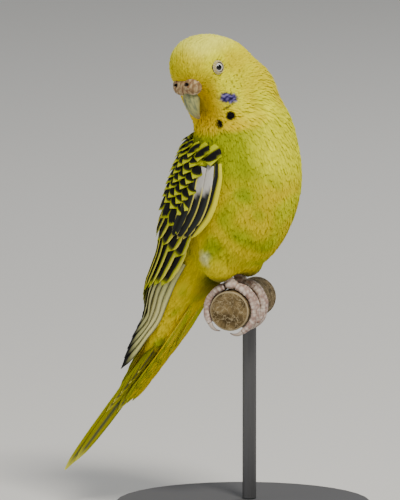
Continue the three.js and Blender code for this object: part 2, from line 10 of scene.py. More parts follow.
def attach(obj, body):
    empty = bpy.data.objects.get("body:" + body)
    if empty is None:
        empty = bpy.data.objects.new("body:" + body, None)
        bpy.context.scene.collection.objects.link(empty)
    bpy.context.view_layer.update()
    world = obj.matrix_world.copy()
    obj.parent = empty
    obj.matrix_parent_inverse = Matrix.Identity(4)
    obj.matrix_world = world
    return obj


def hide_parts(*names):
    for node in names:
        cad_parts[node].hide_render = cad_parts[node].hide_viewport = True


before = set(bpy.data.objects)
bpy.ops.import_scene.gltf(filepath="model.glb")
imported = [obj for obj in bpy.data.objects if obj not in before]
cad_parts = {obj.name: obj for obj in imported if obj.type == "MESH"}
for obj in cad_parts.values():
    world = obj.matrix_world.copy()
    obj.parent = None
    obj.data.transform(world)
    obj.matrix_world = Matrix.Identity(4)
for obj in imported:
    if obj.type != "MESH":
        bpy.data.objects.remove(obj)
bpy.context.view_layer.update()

# Sizes in millimetres, in the frame of the perch: its origin is on the dowel's axis midway
# between the feet, x runs across the dowel and y along it, and the bird's body is turned on z.
MM = 0.001
ORIGIN = np.array([0.0, -10.2, 81.3])  # the perch frame's origin in the CAD frame
HEADING = -20.0
HEAD_AT = (-4.0, -12.0, 86.8)
HEAD_TURN = (-100.0, 15.0, 9.0)
BLEND = 1.6  # how softly the forms melt together
COAT_DEPTH = 1.0  # the skin lies this far inside the solids
BOTH_SIDES = (("right", -1), ("left", 1))
RNG = np.random.default_rng(7)

# Frames


def rotation(axis, degrees):
    m = np.eye(4)
    m[:3, :3] = np.array(Matrix.Rotation(math.radians(degrees), 3, axis))
    return m


def shift(x, y, z):
    m = np.eye(4)
    m[:3, 3] = (x, y, z)
    return m


BODY = rotation("Z", HEADING)
yaw, pitch, roll = HEAD_TURN
HEAD = BODY @ shift(*HEAD_AT) @ rotation("Z", yaw) @ rotation("Y", pitch) @ rotation("X", roll)
HEAD_INVERSE = np.linalg.inv(HEAD)
BODY_INVERSE = np.linalg.inv(BODY)


def moved(matrix, points):
    return np.asarray(points, float) @ matrix[:3, :3].T + matrix[:3, 3]


def unit(v):
    return v / np.maximum(np.linalg.norm(v, axis=-1, keepdims=True), 1e-9)


def norm(v):
    return np.linalg.norm(v, axis=-1)


def dot(a, b):
    return np.einsum("ij,ij->i", a, b)


def circle(count):
    """Evenly spaced angles round a circle."""
    return np.arange(count) / count * 2 * math.pi


def between(ends, t):
    return ends[0] + (ends[1] - ends[0]) * t


def sampled(at, given, points):
    """Points at distances along a line, from those at the distances given."""
    return np.column_stack([np.interp(at, given, points[:, k]) for k in range(3)])


def grid_faces(rows, columns):
    """Quads between the vertices of a grid, which are numbered row by row."""
    first = np.arange(rows - 1)[:, None] * columns + np.arange(columns - 1)
    return first.reshape(-1, 1) + np.array([0, 1, columns + 1, columns])


def smooth(low, high, x):
    t = np.clip((x - low) / (high - low), 0, 1)
    return t * t * (3 - 2 * t)


def mix(a, b, t):
    t = np.asarray(t)[..., None]
    return np.asarray(a) * (1 - t) + np.asarray(b) * t


# Flesh: the same egg-shaped forms as the solids


def form(matrix, centre, radii, lean=0.0):
    inverse = np.linalg.inv(matrix @ shift(*centre) @ rotation("Y", lean))
    return inverse, np.array(radii, float)


TORSO = [
    form(BODY, (3.9, 0, 47.5), (20.9, 21, 27.7), 7),
    form(BODY, (0, 0, 36.3), (20.1, 20.3, 24.2), 12),
    form(BODY, (-10, 0, 36.6), (14.3, 17.6, 34.2), 16.5),
    form(BODY, (-18.5, 0, 14.3), (9.9, 13.4, 25.2), 36.5),
    form(BODY, (-28.8, 0, -7.5), (4.2, 7.2, 18), 38),
]
THIGHS = [form(BODY, (-1.6, side * 9.2, 18.9), (6.2, 6.6, 9.0), -12) for side in (-1, 1)]
NECK = [form(BODY, (4.3, -0.2, 63.2), (17.8, 18, 18.5)), form(BODY, (2.3, 2.0, 77.9), (12.6, 12, 13.3))]
SKULL = [
    form(HEAD, (-0.5, 0, 1.2), (12.9, 11.4, 13.1)),
    form(HEAD, (4.5, 0, 4.2), (9.4, 10.2, 10.6)),
    form(HEAD, (-8, 0, -3.9), (11.4, 12, 13.8)),
    form(HEAD, (1.4, 5.6, -7), (7.4, 6.4, 9)),
    form(HEAD, (1.4, -5.6, -7), (7.4, 6.4, 9)),
    form(HEAD, (0.6, 0, -15), (7.8, 12, 10.8)),
]
SLEEVE = form(BODY, (-38.8, 0, -18.6), (6.3, 6.6, 32.5), 32)
FLESH = TORSO + THIGHS + NECK + SKULL
SUPPORT = TORSO + THIGHS + NECK + [SLEEVE]


def field(forms, points):
    """Roughly the distance to the surface that the forms melt into, and its outward normal."""
    total = np.zeros(len(points))
    slope = np.zeros((len(points), 3))
    for inverse, radii in forms:
        q = moved(inverse, points)
        k0 = norm(q / radii)
        k1 = norm(q / radii**2) + 1e-9
        weight = np.exp(-np.maximum(-40, k0 * (k0 - 1) / k1) / BLEND)
        total += weight
        slope += (weight / k1)[:, None] * ((q / radii**2) @ inverse[:3, :3])
    return -BLEND * np.log(total), unit(slope)


def cast(forms, start, direction, level=0.0):
    """The first point along each ray where the field reaches a level."""
    near = np.zeros(len(start))
    far = np.full(len(start), 1.5)
    for _ in range(40):
        inside = field(forms, start + direction * far[:, None])[0] < level
        near = np.where(inside, far, near)
        far = np.where(inside, far + 1.5, far)
    for _ in range(14):
        middle = (near + far) / 2
        inside = field(forms, start + direction * middle[:, None])[0] < level
        near = np.where(inside, middle, near)
        far = np.where(inside, far, middle)
    return start + direction * near[:, None]


def settle(forms, points, level, rounds=3):
    for _ in range(rounds):
        value, normal = field(forms, points)
        points = points + normal * (level - value)[:, None]
    return points, field(forms, points)[1]


# The bird's long axis, and places round it

AXIS = moved(
    BODY,
    [
        (-1.5, -7, 84), (1, -3, 74), (2.5, -0.5, 63), (1, 0, 50), (-1.5, 0, 37), (-6, 0, 24),
        (-15, 0, 11), (-25.2, 0, -3.2), (-34.4, 0, -16.6), (-48.2, 0, -35.3),
        (-61.7, 0, -51.8), (-75.5, 0, -68.3),
    ],
)
LATERAL = BODY[:3, 1]


def centripetal(points, count):
    """Samples of a smooth curve through the points, with even spacing."""
    p = np.vstack([2 * points[0] - points[1], points, 2 * points[-1] - points[-2]])
    out = []
    for i in range(1, len(p) - 2):
        a, b, c, d = p[i - 1 : i + 3]
        t0 = 0.0
        t1 = t0 + np.linalg.norm(b - a) ** 0.5
        t2 = t1 + np.linalg.norm(c - b) ** 0.5
        t3 = t2 + np.linalg.norm(d - c) ** 0.5
        t = np.linspace(t1, t2, 60, endpoint=False)[:, None]
        ab = (t1 - t) / (t1 - t0) * a + (t - t0) / (t1 - t0) * b
        bc = (t2 - t) / (t2 - t1) * b + (t - t1) / (t2 - t1) * c
        cd = (t3 - t) / (t3 - t2) * c + (t - t2) / (t3 - t2) * d
        abc = (t2 - t) / (t2 - t0) * ab + (t - t0) / (t2 - t0) * bc
        bcd = (t3 - t) / (t3 - t1) * bc + (t - t1) / (t3 - t1) * cd
        out.append((t2 - t) / (t2 - t1) * abc + (t - t1) / (t2 - t1) * bcd)
    curve = np.vstack(out + [points[-1:]])
    length = np.concatenate([[0], np.cumsum(norm(np.diff(curve, axis=0)))])
    even = np.linspace(0, length[-1], count)
    return sampled(even, length, curve), length[-1]


AXIS_LINE, AXIS_LENGTH = centripetal(AXIS, 400)
AXIS_TANGENT = unit(np.gradient(AXIS_LINE, axis=0))


def station(arc):
    """The axis' own frame at distances down it: point, tangent, breast's side, bird's left."""
    at = np.clip(np.asarray(arc, float) / AXIS_LENGTH, 0, 1) * (len(AXIS_LINE) - 1)
    low = np.minimum(at.astype(int), len(AXIS_LINE) - 2)
    t = (at - low)[..., None]
    point = AXIS_LINE[low] * (1 - t) + AXIS_LINE[low + 1] * t
    tangent = unit(AXIS_TANGENT[low] * (1 - t) + AXIS_TANGENT[low + 1] * t)
    front = unit(np.cross(tangent, LATERAL))
    left = np.cross(front, tangent)
    return point, tangent, front, left


def along_axis(points):
    """Distance down the axis of each point, and the angle round it from the breast to the left."""
    nearest = np.empty(len(points), int)
    for i in range(0, len(points), 20000):
        gap = points[i : i + 20000, None, :] - AXIS_LINE[None, ::2, :]
        nearest[i : i + 20000] = np.argmin(np.einsum("ijk,ijk->ij", gap, gap), axis=1) * 2
    arc = nearest / (len(AXIS_LINE) - 1) * AXIS_LENGTH
    point, tangent, front, left = station(arc)
    arc = arc + dot(points - point, tangent)
    out = points - point
    angle = np.arctan2(dot(out, left), dot(out, front))
    return arc, angle


# Colours, as functions of place. They are linear light.

YELLOW = (0.70, 0.60, 0.0)
BRIGHT = (0.80, 0.77, 0.0)
PALE = (0.92, 0.92, 0.12)
GOLD = (0.62, 0.38, 0.0)
LIME = (0.42, 0.46, 0.0)
OLIVE = (0.22, 0.27, 0.0)
LEAF = (0.07, 0.24, 0.005)
FLUFF = (0.86, 0.84, 0.55)
BLACK = (0.004, 0.004, 0.004)
SLATE = (0.018, 0.021, 0.02)
VIOLET = (0.035, 0.024, 0.13)
LAVENDER = (0.20, 0.17, 0.38)
TAIL_BLUE = (0.02, 0.075, 0.075)

# The small feathers' colours: ticks on the face; painted light on the breast's lit side, low down
# and high up; a painted pool of light on the belly; vent; mantle; painted shade above the feet
TICK = (0.12, 0.09, 0.0)
LIT_SIDE_LOW, LIT_SIDE_HIGH = (0.56, 0.58, 0.0), (0.80, 0.78, 0.0)
LIT_BELLY = (0.60, 0.47, 0.0)
VENT = (0.74, 0.58, 0.0)
MANTLE = (0.30, 0.44, 0.0)
SHADE_ABOVE_FEET = (0.05, 0.055, 0.02)
LINE_DARK = (0.05, 0.035, 0.02)

# Marks on the face, in the head's frame: the cheek patch, and the throat's spots, each with its
# middle, half its width and half its height
CHEEK = {"middle": (4.2, 11.8, -8.8), "along": (-0.83, 0.35, -0.43), "half": (4.3, 2.0)}
SPOTS = [
    ((5.75, 11.4, -15.1), 1.65, 1.65), ((5.75, -11.4, -15.1), 1.65, 1.65),
    ((8.7, 7.2, -16.9), 1.2, 1.8), ((8.9, -5.9, -17.2), 0.8, 1.5), ((10.2, -2.6, -16.6), 0.4, 0.9),
]
LINE = ((3.7, 12.26, -11.33), (7.23, 9.4, -12.55))  # a fine dark line under the cheek patch
MASK_EDGE = -21.0  # how far below the skull's middle the yellow ends
THIGH_FLUFF = (-2.6, -14.0, 20.0)


def noise(points, scale, seed=0.0):
    """Smooth noise from a few crossed waves, between about -1 and 1."""
    p = points / scale
    total = 0.0
    for k in range(4):
        a = 1.7 * k + seed
        d = np.array([math.sin(a * 2.1 + 0.3), math.cos(a * 1.3 + 1.1), math.sin(a * 0.7 + 2.0)])
        e = np.array([math.cos(a * 1.9), math.sin(a * 2.7 + 0.6), math.cos(a * 0.9 + 0.4)])
        total = total + np.sin(p @ d * 1.9 + 1.6 * np.sin(p @ e * 1.3 + a) + a)
    return total / 4


def plumage(points):
    """The colour of the small feathers at each point."""
    arc, angle = along_axis(points)
    turn = np.abs(np.degrees(angle))
    h = moved(HEAD_INVERSE, points)
    b = moved(BODY_INVERSE, points)
    h_side = np.abs(h[:, 1])
    # the yellow head gives way to green below the mask, a little higher up behind
    edge = MASK_EDGE + 0.9 * noise(points, 4.0) + 1.5 * smooth(4, 9, h[:, 0]) + smooth(-4, -14, h[:, 0])
    green = smooth(1.2, -1.8, h[:, 2] - edge)
    colour = mix(YELLOW, BRIGHT, smooth(-0.4, 0.6, noise(points, 8.0, 2.0)))
    # painted highlight: the top of the head is paler
    colour = mix(colour, PALE, 0.8 * smooth(5.0, 12, h[:, 2]) * smooth(13, 6, h[:, 0]))
    # painted shade: a deeper gold about the bill and low on the front of the face
    colour = mix(colour, GOLD, 0.8 * smooth(15, 6, norm(h - (11, 0, -8))))
    colour = mix(colour, GOLD, 0.6 * smooth(-8, -17, h[:, 2]) * smooth(-2, 6, h[:, 0]))
    # scalloped rows of fine dark ticks behind the eye and over the cheek
    from_bill = norm(h - (12, 0, -6))
    rows = smooth(0.35, 0.85, np.sin(2 * math.pi * from_bill / 1.35 + 0.8 * noise(points, 2.0, 3.0)))
    near_eye = smooth(10.5, 6.0, norm(np.column_stack([h[:, 0] - 2, h[:, 2] + 1.5])))
    ticks = rows * near_eye * smooth(6, 8, h_side) * smooth(-0.1, 0.4, noise(points, 0.9, 8.0))
    colour = mix(colour, TICK, 0.85 * ticks)
    # body: olive-lime, with painted light on the breast's lit side, and a mottled painted pool of golden
    # light low on the belly
    mottle = 0.35 * noise(points, 6.5) + 0.2 * noise(points * (1, 1, 0.4), 1.6, 7.0)
    body = mix(OLIVE, LIME, 0.45 + mottle)
    # painted light: the breast's side towards the light is lighter, most of all higher up
    lit_side = smooth(0, 13, b[:, 0] * 0.82 + b[:, 1] * 0.57 - 8 * smooth(62, 36, b[:, 2]))
    high = smooth(32, 60, b[:, 2])
    body = mix(body, mix(LIT_SIDE_LOW, LIT_SIDE_HIGH, high), 0.85 * lit_side)
    # painted light: a mottled golden pool of light low on the belly
    lit_belly = smooth(54, 42, b[:, 2]) * smooth(17, 5, b[:, 1]) * smooth(125, 95, turn)
    body = mix(body, LIT_BELLY, 0.9 * lit_belly * smooth(-0.75, 0.15, noise(points, 7.0, 5.0)))
    body = mix(body, LEAF, 0.5 * smooth(54, 42, b[:, 2]) * smooth(0.25, 0.7, noise(points, 6.0, 9.0)))
    vent = smooth(74, 88, arc)
    body = mix(body, VENT, 0.9 * vent)
    body = mix(body, LEAF, 0.6 * vent * smooth(0.2, 0.6, noise(points, 6.5, 3.0)))
    back = smooth(105, 150, turn) * smooth(24, 40, arc) * smooth(120, 96, arc)
    body = mix(body, MANTLE, 0.7 * back)
    fluff = norm((b - THIGH_FLUFF) * (1, 0.5, 1)) + 1.2 * noise(points, 1.4, 2.0)
    body = mix(body, FLUFF, 0.4 * smooth(4.0, 1.0, fluff))
    # painted shade: the coat low on the body's front, over the feet, is darkened
    body = mix(body, SHADE_ABOVE_FEET, 0.8 * smooth(13.5, 10.5, b[:, 2]) * smooth(-12, -6, b[:, 0]))
    colour = mix(colour, body, green)
    # violet cheek patches with darker and paler strokes
    d = np.column_stack([h[:, 0], h_side, h[:, 2]]) - CHEEK["middle"]
    run = d @ np.array(CHEEK["along"])
    rise = np.sqrt(np.maximum((d * d).sum(axis=1) - run * run, 0)) / CHEEK["half"][1]
    patch = smooth(1.2, 0.75, np.hypot(run / CHEEK["half"][0], rise) + 0.3 * noise(points, 0.8))
    stroke = noise(points, 0.75, 4.0)
    violet = mix(VIOLET, LAVENDER, smooth(0.0, 0.5, stroke))
    colour = mix(colour, mix(violet, BLACK, 0.7 * smooth(-0.1, -0.45, stroke)), patch)
    start, stop = np.array(LINE)
    face = np.column_stack([h[:, 0], h_side, h[:, 2]])
    t = np.clip((face - start) @ (stop - start) / ((stop - start) @ (stop - start)), 0, 1)
    gap = norm(face - start - t[:, None] * (stop - start))
    colour = mix(colour, LINE_DARK, 0.85 * smooth(0.6, 0.35, gap + 0.15 * noise(points, 0.8)))
    # round black spots on the throat
    for centre, wide, tall in SPOTS:
        d = (h - centre) / (wide * 1.15, wide * 1.1, tall)
        spot = smooth(1.15, 0.95, norm(d) + 0.05 * noise(points, 0.7))
        colour = mix(colour, BLACK, spot)
    return np.clip(colour, 0, 1)


# Materials and meshes


def feed(tree, node, inputs):
    """Sets a node's inputs, each to a constant or to another node's output."""
    for socket, value in inputs.items():
        if isinstance(value, bpy.types.NodeSocket):
            tree.links.new(value, node.inputs[socket])
        else:
            node.inputs[socket].default_value = value


def add_node(tree, kind, inputs, **settings):
    node = tree.nodes.new("ShaderNode" + kind)
    for key, value in settings.items():
        setattr(node, key, value)
    feed(tree, node, inputs)
    return node


def maths(tree, operation, *values):
    """The output of a maths node on constants or other outputs."""
    return add_node(tree, "Math", dict(enumerate(values)), operation=operation).outputs["Value"]


def new_material(name, inputs):
    """A material, its node tree and its shader, with the shader's inputs set."""
    material = bpy.data.materials.new(name)
    material.use_nodes = True
    shader = material.node_tree.nodes["Principled BSDF"]
    feed(material.node_tree, shader, inputs)
    return material, material.node_tree, shader


def emboss(tree, shader, texture, strength, distance):
    bump = add_node(tree, "Bump", {"Strength": strength, "Distance": distance,
                                   "Height": texture.outputs["Fac"]})
    feed(tree, shader, {"Normal": bump.outputs["Normal"]})


def attribute_material(name, roughness, specular, subsurface=0.0, bump=None):
    """A material that takes its colour from the mesh's own colour attribute."""
    material, tree, shader = new_material(name, {"Roughness": roughness, "Specular IOR Level": specular})
    colour = add_node(tree, "VertexColor", {}, layer_name="Col")
    feed(tree, shader, {"Base Color": colour.outputs["Color"]})
    if subsurface:
        feed(tree, shader, {"Subsurface Weight": subsurface, "Subsurface Radius": (1.0, 0.6, 0.3),
                            "Subsurface Scale": 0.0012})
    if bump:
        kind, scale, strength, distance = bump
        if kind == "barbs":
            uv = add_node(tree, "UVMap", {}, uv_map="Vane")
            mapping = add_node(tree, "Mapping", {"Scale": (2.0, 26.0, 1.0), "Vector": uv.outputs["UV"]})
            place = mapping.outputs["Vector"]
        else:
            place = add_node(tree, "TexCoord", {}).outputs["Object"]
        texture = add_node(tree, "TexNoise", {"Scale": scale, "Detail": 6, "Vector": place})
        emboss(tree, shader, texture, strength, distance)
    return material


def finish_mesh(name, mesh, colours, material):
    """Gives a mesh its smooth shading, colours and material, and puts it in the scene."""
    mesh.polygons.foreach_set("use_smooth", np.ones(len(mesh.polygons), bool))
    layer = mesh.color_attributes.new("Col", "FLOAT_COLOR", "POINT")
    rgba = np.column_stack([np.clip(colours, 0, 1), np.ones(len(colours))])
    layer.data.foreach_set("color", rgba.astype(np.float32).ravel())
    mesh.materials.append(material)
    made = bpy.data.objects.new(name, mesh)
    bpy.context.scene.collection.objects.link(made)
    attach(made, "root")
    return made


BAKE_MARGIN = 0.02
BAKE_SPAN = 0.96
BAKE_START = -14.0  # the axis' stations that the unwrap covers
BAKE_LENGTH = 200.0
PATCH = 0.003  # how far a feather's own patch reaches on the unwrap


def make_mesh(name, points, faces, colours, material, uvs, bake):
    """A mesh of quads, with its colours and UV maps given per vertex."""
    mesh = bpy.data.meshes.new(name)
    points = (np.asarray(points) + ORIGIN) * MM
    faces = np.asarray(faces)
    mesh.vertices.add(len(points))
    mesh.vertices.foreach_set("co", points.ravel())
    corners = faces.shape[1]
    mesh.loops.add(faces.size)
    mesh.loops.foreach_set("vertex_index", faces.ravel().astype(np.int32))
    mesh.polygons.add(len(faces))
    mesh.polygons.foreach_set("loop_start", (np.arange(len(faces)) * corners).astype(np.int32))
    mesh.update(calc_edges=True)
    mesh.validate()
    index = np.empty(len(mesh.loops), np.int32)
    mesh.loops.foreach_get("vertex_index", index)
    for map_name, per_vertex in (("OFBake", bake), ("Vane", uvs)):
        layer = mesh.uv_layers.new(name=map_name)
        per_corner = np.asarray(per_vertex)[index]
        if map_name == "OFBake":
            # a face across the unwrap's seam, down the middle of the back, stays on one side
            u = per_corner[:, 0].reshape(-1, corners)
            crosses = u.max(axis=1) - u.min(axis=1) > 0.5
            u[crosses] = np.maximum(u[crosses], BAKE_MARGIN + BAKE_SPAN)
            per_corner[:, 0] = u.ravel()
        layer.data.foreach_set("uv", per_corner.astype(np.float32).ravel())
    return finish_mesh(name, mesh, colours, material)


def bake_place(points):
    """A place for each point on an unwrap of the skin: the angle round the axis, and down it."""
    arc, angle = along_axis(points)
    round_it = angle / (2 * math.pi) + 0.5
    down_it = np.clip((arc - BAKE_START) / BAKE_LENGTH, 0, 1)
    return BAKE_MARGIN + BAKE_SPAN * np.column_stack([round_it, down_it])


def bake_patch(u, v):
    """A feather's patch about its root's place: u runs from -1 to 1, and v from 0 to 1."""
    return np.stack([u * PATCH / 2, (v - 0.5) * PATCH], axis=-1)


# Skin: one closed surface round all the flesh


def surface_net(v, low, pitch):
    """Vertices and quads of the surface where a grid of values passes zero."""
    neg = v < 0
    nx, ny, nz = v.shape
    corner = [(i, j, k) for i in (0, 1) for j in (0, 1) for k in (0, 1)]

    def at(a, c):
        i, j, k = c
        return a[i : nx - 1 + i, j : ny - 1 + j, k : nz - 1 + k]

    count = sum(at(neg, c).astype(int) for c in corner)
    active = (count > 0) & (count < 8)
    cells = np.argwhere(active)
    number = np.full(active.shape, -1)
    number[active] = np.arange(len(cells))
    total = np.zeros((len(cells), 3))
    hits = np.zeros(len(cells))
    for a in corner:
        for axis in range(3):
            if a[axis]:
                continue
            b = tuple(1 if k == axis else a[k] for k in range(3))
            va = at(v, a)[active]
            vb = at(v, b)[active]
            cross = (va < 0) != (vb < 0)
            t = np.where(cross, va / np.where(cross, va - vb, 1), 0)
            place = np.tile(np.array(a, float), (len(cells), 1))
            place[:, axis] = t
            total += np.where(cross[:, None], place, 0)
            hits += cross
    points = low + pitch * (cells + total / hits[:, None])
    quads = []
    for axis in range(3):
        other = [k for k in range(3) if k != axis]
        step = np.zeros(3, int)
        step[axis] = 1
        a = neg[1:-1, 1:-1, 1:-1]
        b = np.roll(neg, -1, axis)[1:-1, 1:-1, 1:-1]
        for flip in (False, True):
            edge = np.argwhere(~a & b if flip else a & ~b) + 1
            ring = []
            for du, dv in ((0, 0), (1, 0), (1, 1), (0, 1)):
                c = edge.copy()
                c[:, other[0]] -= du
                c[:, other[1]] -= dv
                ring.append(number[c[:, 0], c[:, 1], c[:, 2]])
            ring = np.column_stack(ring)
            quads.append(ring if flip ^ (axis == 1) else ring[:, ::-1])
    quads = np.vstack(quads)
    return points, quads[(quads >= 0).all(axis=1)]


EYE_CLEAR = 2.75  # no tuft is rooted nearer to the middle of an eye's opening
EYE = {"radius": 2.6, "forward": 4.4, "up": 3.1, "sunk": 1.9}
SOCKET = {"radius": 3.1, "sunk": 0.6}
SKIN_PITCH = 0.85
SKIN_BOX = ((-52.0, -33.0, -26.0), (30.0, 27.0, 104.0))
# painted shade: the skin is darkened, as it shows only in the shaded gaps of the coat
SKIN_SHADE = 0.75  # the skin shows only in the gaps of the coat


def eye_frame(side):
    """The middle of the eye's opening on the flesh, and the outward direction there."""
    start = moved(HEAD, [(EYE["forward"], 0, EYE["up"])])
    skin = cast(FLESH, start, HEAD[None, :3, 1] * side)
    return skin[0], field(FLESH, skin)[1][0]


EYES = {side: eye_frame(side) for side in (-1, 1)}


def skin_field(points):
    value = field(FLESH, points)[0] + COAT_DEPTH
    for centre, out in EYES.values():
        socket = SOCKET["radius"] - norm(points - (centre - out * SOCKET["sunk"]))
        value = np.where(socket > -1.2, np.maximum(value, socket), value)
    return value


def sample_grid(low, high, pitch):
    """The points of a cubic grid between two corners, in one list, and the grid's shape."""
    low, high = np.array(low), np.array(high)
    count = np.ceil((high - low) / pitch).astype(int)
    axes = [low[k] + pitch * np.arange(count[k]) for k in range(3)]
    return np.stack(np.meshgrid(*axes, indexing="ij"), axis=-1).reshape(-1, 3), count


def build_skin():
    grid, count = sample_grid(*SKIN_BOX, SKIN_PITCH)
    return surface_net(skin_field(grid).reshape(count), np.array(SKIN_BOX[0]), SKIN_PITCH)


feather_matte = attribute_material("small_feathers", 0.8, 0.1, bump=("barbs", 5.0, 0.5, 0.00015))
feather_sleek = attribute_material("vane_feathers", 0.62, 0.14, bump=("barbs", 5.0, 0.4, 0.0002))
bare_skin = attribute_material("bare_skin", 0.6, 0.35, subsurface=0.15,
                               bump=("plain", 900.0, 0.5, 0.0004))

skin_points, skin_quads = build_skin()
skin = make_mesh("skin", skin_points, skin_quads, plumage(skin_points) * SKIN_SHADE, feather_matte,
                 uvs=np.zeros((len(skin_points), 2)), bake=bake_place(skin_points))
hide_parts("head", "neck", "torso", "rump", "thigh_left", "thigh_right")

# Small feathers: leaf-shaped tufts that follow the lie of the coat

BILL_ROOT = moved(HEAD, [(12.0, 0, -4.0)])[0]


def lie(points, normal):
    """Which way the coat lies: back from the bill over the head, then down the body."""
    arc, _ = along_axis(points)
    tangent = station(arc)[1]
    h = moved(HEAD_INVERSE, points)
    back = unit(points - BILL_ROOT)
    weight = smooth(15, 24, norm(h - (0, 0, -4)))
    weight = np.maximum(weight, smooth(12, 26, arc))
    direction = back * (1 - weight)[:, None] + tangent * weight[:, None]
    direction -= normal * dot(direction, normal)[:, None]
    return unit(direction)


# A tuft's outline: places along it, and its share of the full width at each
LEAF_AT = np.array([0.0, 0.3, 0.6, 0.85, 1.0])
LEAF_SHARE = np.array([0.55, 0.92, 1.0, 0.72, 0.22])
TIP_SHADE = 0.12
LIE_SPREAD = 0.09
LEVEL_SPREAD = 0.10
TONE_SPREAD = 0.07
VAULT = 0.11  # how far a tuft's edges lie under its middle, against its width
TRIANGLES_A_PIECE = 180000


def tufts(name, roots, length, width, root_level, tip_level):
    """Joined leaf-shaped tufts: a strip of three vertices across, which follows the body."""
    _, normal = field(FLESH, roots)
    direction = lie(roots, normal)
    direction = unit(direction + LIE_SPREAD * RNG.normal(size=direction.shape))
    stops = len(LEAF_AT)
    centres = np.empty((len(roots), stops, 3))
    normals = np.empty((len(roots), stops, 3))
    point = roots.copy()
    previous = 0.0
    wander = RNG.uniform(-LEVEL_SPREAD, LEVEL_SPREAD, len(roots))
    for i, at in enumerate(LEAF_AT):
        step = (at - previous) * length
        previous = at
        point = point + direction * step[:, None]
        level = root_level + (tip_level + wander - root_level) * at**0.7
        point, n = settle(FLESH, point, level, 1)
        centres[:, i] = point
        normals[:, i] = n
        direction = unit(direction - n * dot(direction, n)[:, None])
    along = unit(np.gradient(centres, axis=1))
    across = unit(np.cross(normals, along))
    wide = LEAF_SHARE[None, :, None] * width[:, None, None]
    half = across * wide / 2
    drop = normals * VAULT * wide
    grid = np.stack([centres - half - drop, centres, centres + half - drop], axis=2)
    points = grid.reshape(-1, 3)
    n = len(roots)
    base = (np.arange(n) * stops * 3)[:, None]
    strip = grid_faces(stops, 3)
    faces = (base[:, :, None] + strip[None]).reshape(-1, 4)
    tone = RNG.normal(0, TONE_SPREAD, n)[:, None]
    seen = plumage(points).reshape(n, stops, 3, 3) * (1 + tone[:, :, None, None])
    # painted shade and light on each tuft: darker towards its root and at its edges, lighter at its tip
    # and down its middle
    shade = 1 + TIP_SHADE * (LEAF_AT - 0.55)[None, :, None, None]
    edge = np.array([0.95, 1.04, 0.95])[None, None, :, None]
    colours = (seen * shade * edge).reshape(-1, 3)
    v = LEAF_AT[None, :, None] + np.zeros((n, 1, 3))
    u = np.array([-1, 0, 1])[None, None, :] * np.ones((n, stops, 1))
    phase = RNG.uniform(0, 40, n)[:, None, None]
    vane = np.stack([u * 0.5 + phase, v + phase], axis=-1).reshape(-1, 2)
    spot = bake_place(roots)[:, None, None, :]
    bake = (spot + bake_patch(u, v)).reshape(-1, 2)
    per = stops * 3
    most = TRIANGLES_A_PIECE // (2 * len(strip))
    for k, start in enumerate(range(0, n, most)):
        stop = min(n, start + most)
        rows = slice(start * per, stop * per)
        part = faces[start * len(strip) : stop * len(strip)] - start * per
        piece = make_mesh(f"{name}_{k + 1}", points[rows], part, colours[rows], feather_matte,
                          uvs=vane[rows], bake=bake[rows])


def around(number, row, spread):
    """Angles round one row, half a step on in every other row, and each a little off its place."""
    places = np.arange(number) + 0.5 * (row % 2) + RNG.uniform(-spread, spread, number)
    return places / number * 2 * math.pi


def ring_roots(row_gap, gap, first, last):
    """Places in staggered rings round the trunk, cast out from its axis onto the flesh."""
    found = []
    for i, arc in enumerate(np.arange(first, last, row_gap)):
        radius = float(np.interp(arc, [0, 20, 40, 70, 90, 112], [14, 19, 22, 20, 12, 6]))
        number = max(8, int(2 * math.pi * radius / gap))
        angle = around(number, i, 0.22)
        jitter = RNG.uniform(-0.25, 0.25, number) * row_gap
        point, _, front, left = station(arc + jitter)
        out = front * np.cos(angle)[:, None] + left * np.sin(angle)[:, None]
        found.append(cast(FLESH, point, out, -COAT_DEPTH))
    return np.vstack(found)


def head_roots():
    """Places in rings about the bill, closer together on the face than on the nape."""
    centre = moved(HEAD, [(-1.0, 0, -4.0)])
    pole = unit(HEAD[:3, :3] @ np.array([0.97, 0, -0.12]))
    side = HEAD[:3, 1]
    third = np.cross(pole, side)
    found = []
    theta = math.radians(14)
    row = 0
    while theta < math.pi:
        pitch = 0.42 + 0.33 * smooth(0.3, 2.0, np.array(theta))
        number = max(6, int(2 * math.pi * 13 * math.sin(theta) / (pitch * 1.05)))
        turn = around(number, row, 0.25)
        tilt = theta + RNG.uniform(-0.2, 0.2, number) * pitch / 13
        out = (
            pole * np.cos(tilt)[:, None]
            + side * (np.sin(tilt) * np.cos(turn))[:, None]
            + third * (np.sin(tilt) * np.sin(turn))[:, None]
        )
        found.append(cast(FLESH, np.repeat(centre, number, axis=0), out, -COAT_DEPTH))
        theta += float(pitch) / 13
        row += 1
    return np.vstack(found)


def keep_clear_of_face(points):
    """True where a tuft's root is clear of the eyes, cere and bill."""
    h = moved(HEAD_INVERSE, points)
    clear = np.ones(len(points), bool)
    for centre, _ in EYES.values():
        clear &= norm(points - centre) > EYE_CLEAR
    cere = norm((h - (11.2, 0, -1.0)) / (4.6, 6.5, 3.3))
    bill = norm((h - (10.6, 0, -7.5)) / (4.4, 3.3, 4.4))
    return clear & (cere > 1) & (bill > 1)


def neck_side(points):
    point, tangent, _, _ = station(np.array([12.5]))
    return (points - point[0]) @ tangent[0]


head_at = head_roots()
head_at = head_at[(neck_side(head_at) < 0) & keep_clear_of_face(head_at)]
h = moved(HEAD_INVERSE, head_at)
from_bill = norm(h - (11, 0, -5))
size = 0.55 + 0.45 * smooth(4, 18, from_bill)
head_length = 2.7 * size * RNG.uniform(0.8, 1.25, len(head_at))
head_width = 0.95 * size * RNG.uniform(0.85, 1.15, len(head_at))
tufts("head_tufts", head_at, head_length, head_width, -COAT_DEPTH - 0.1, -0.4)

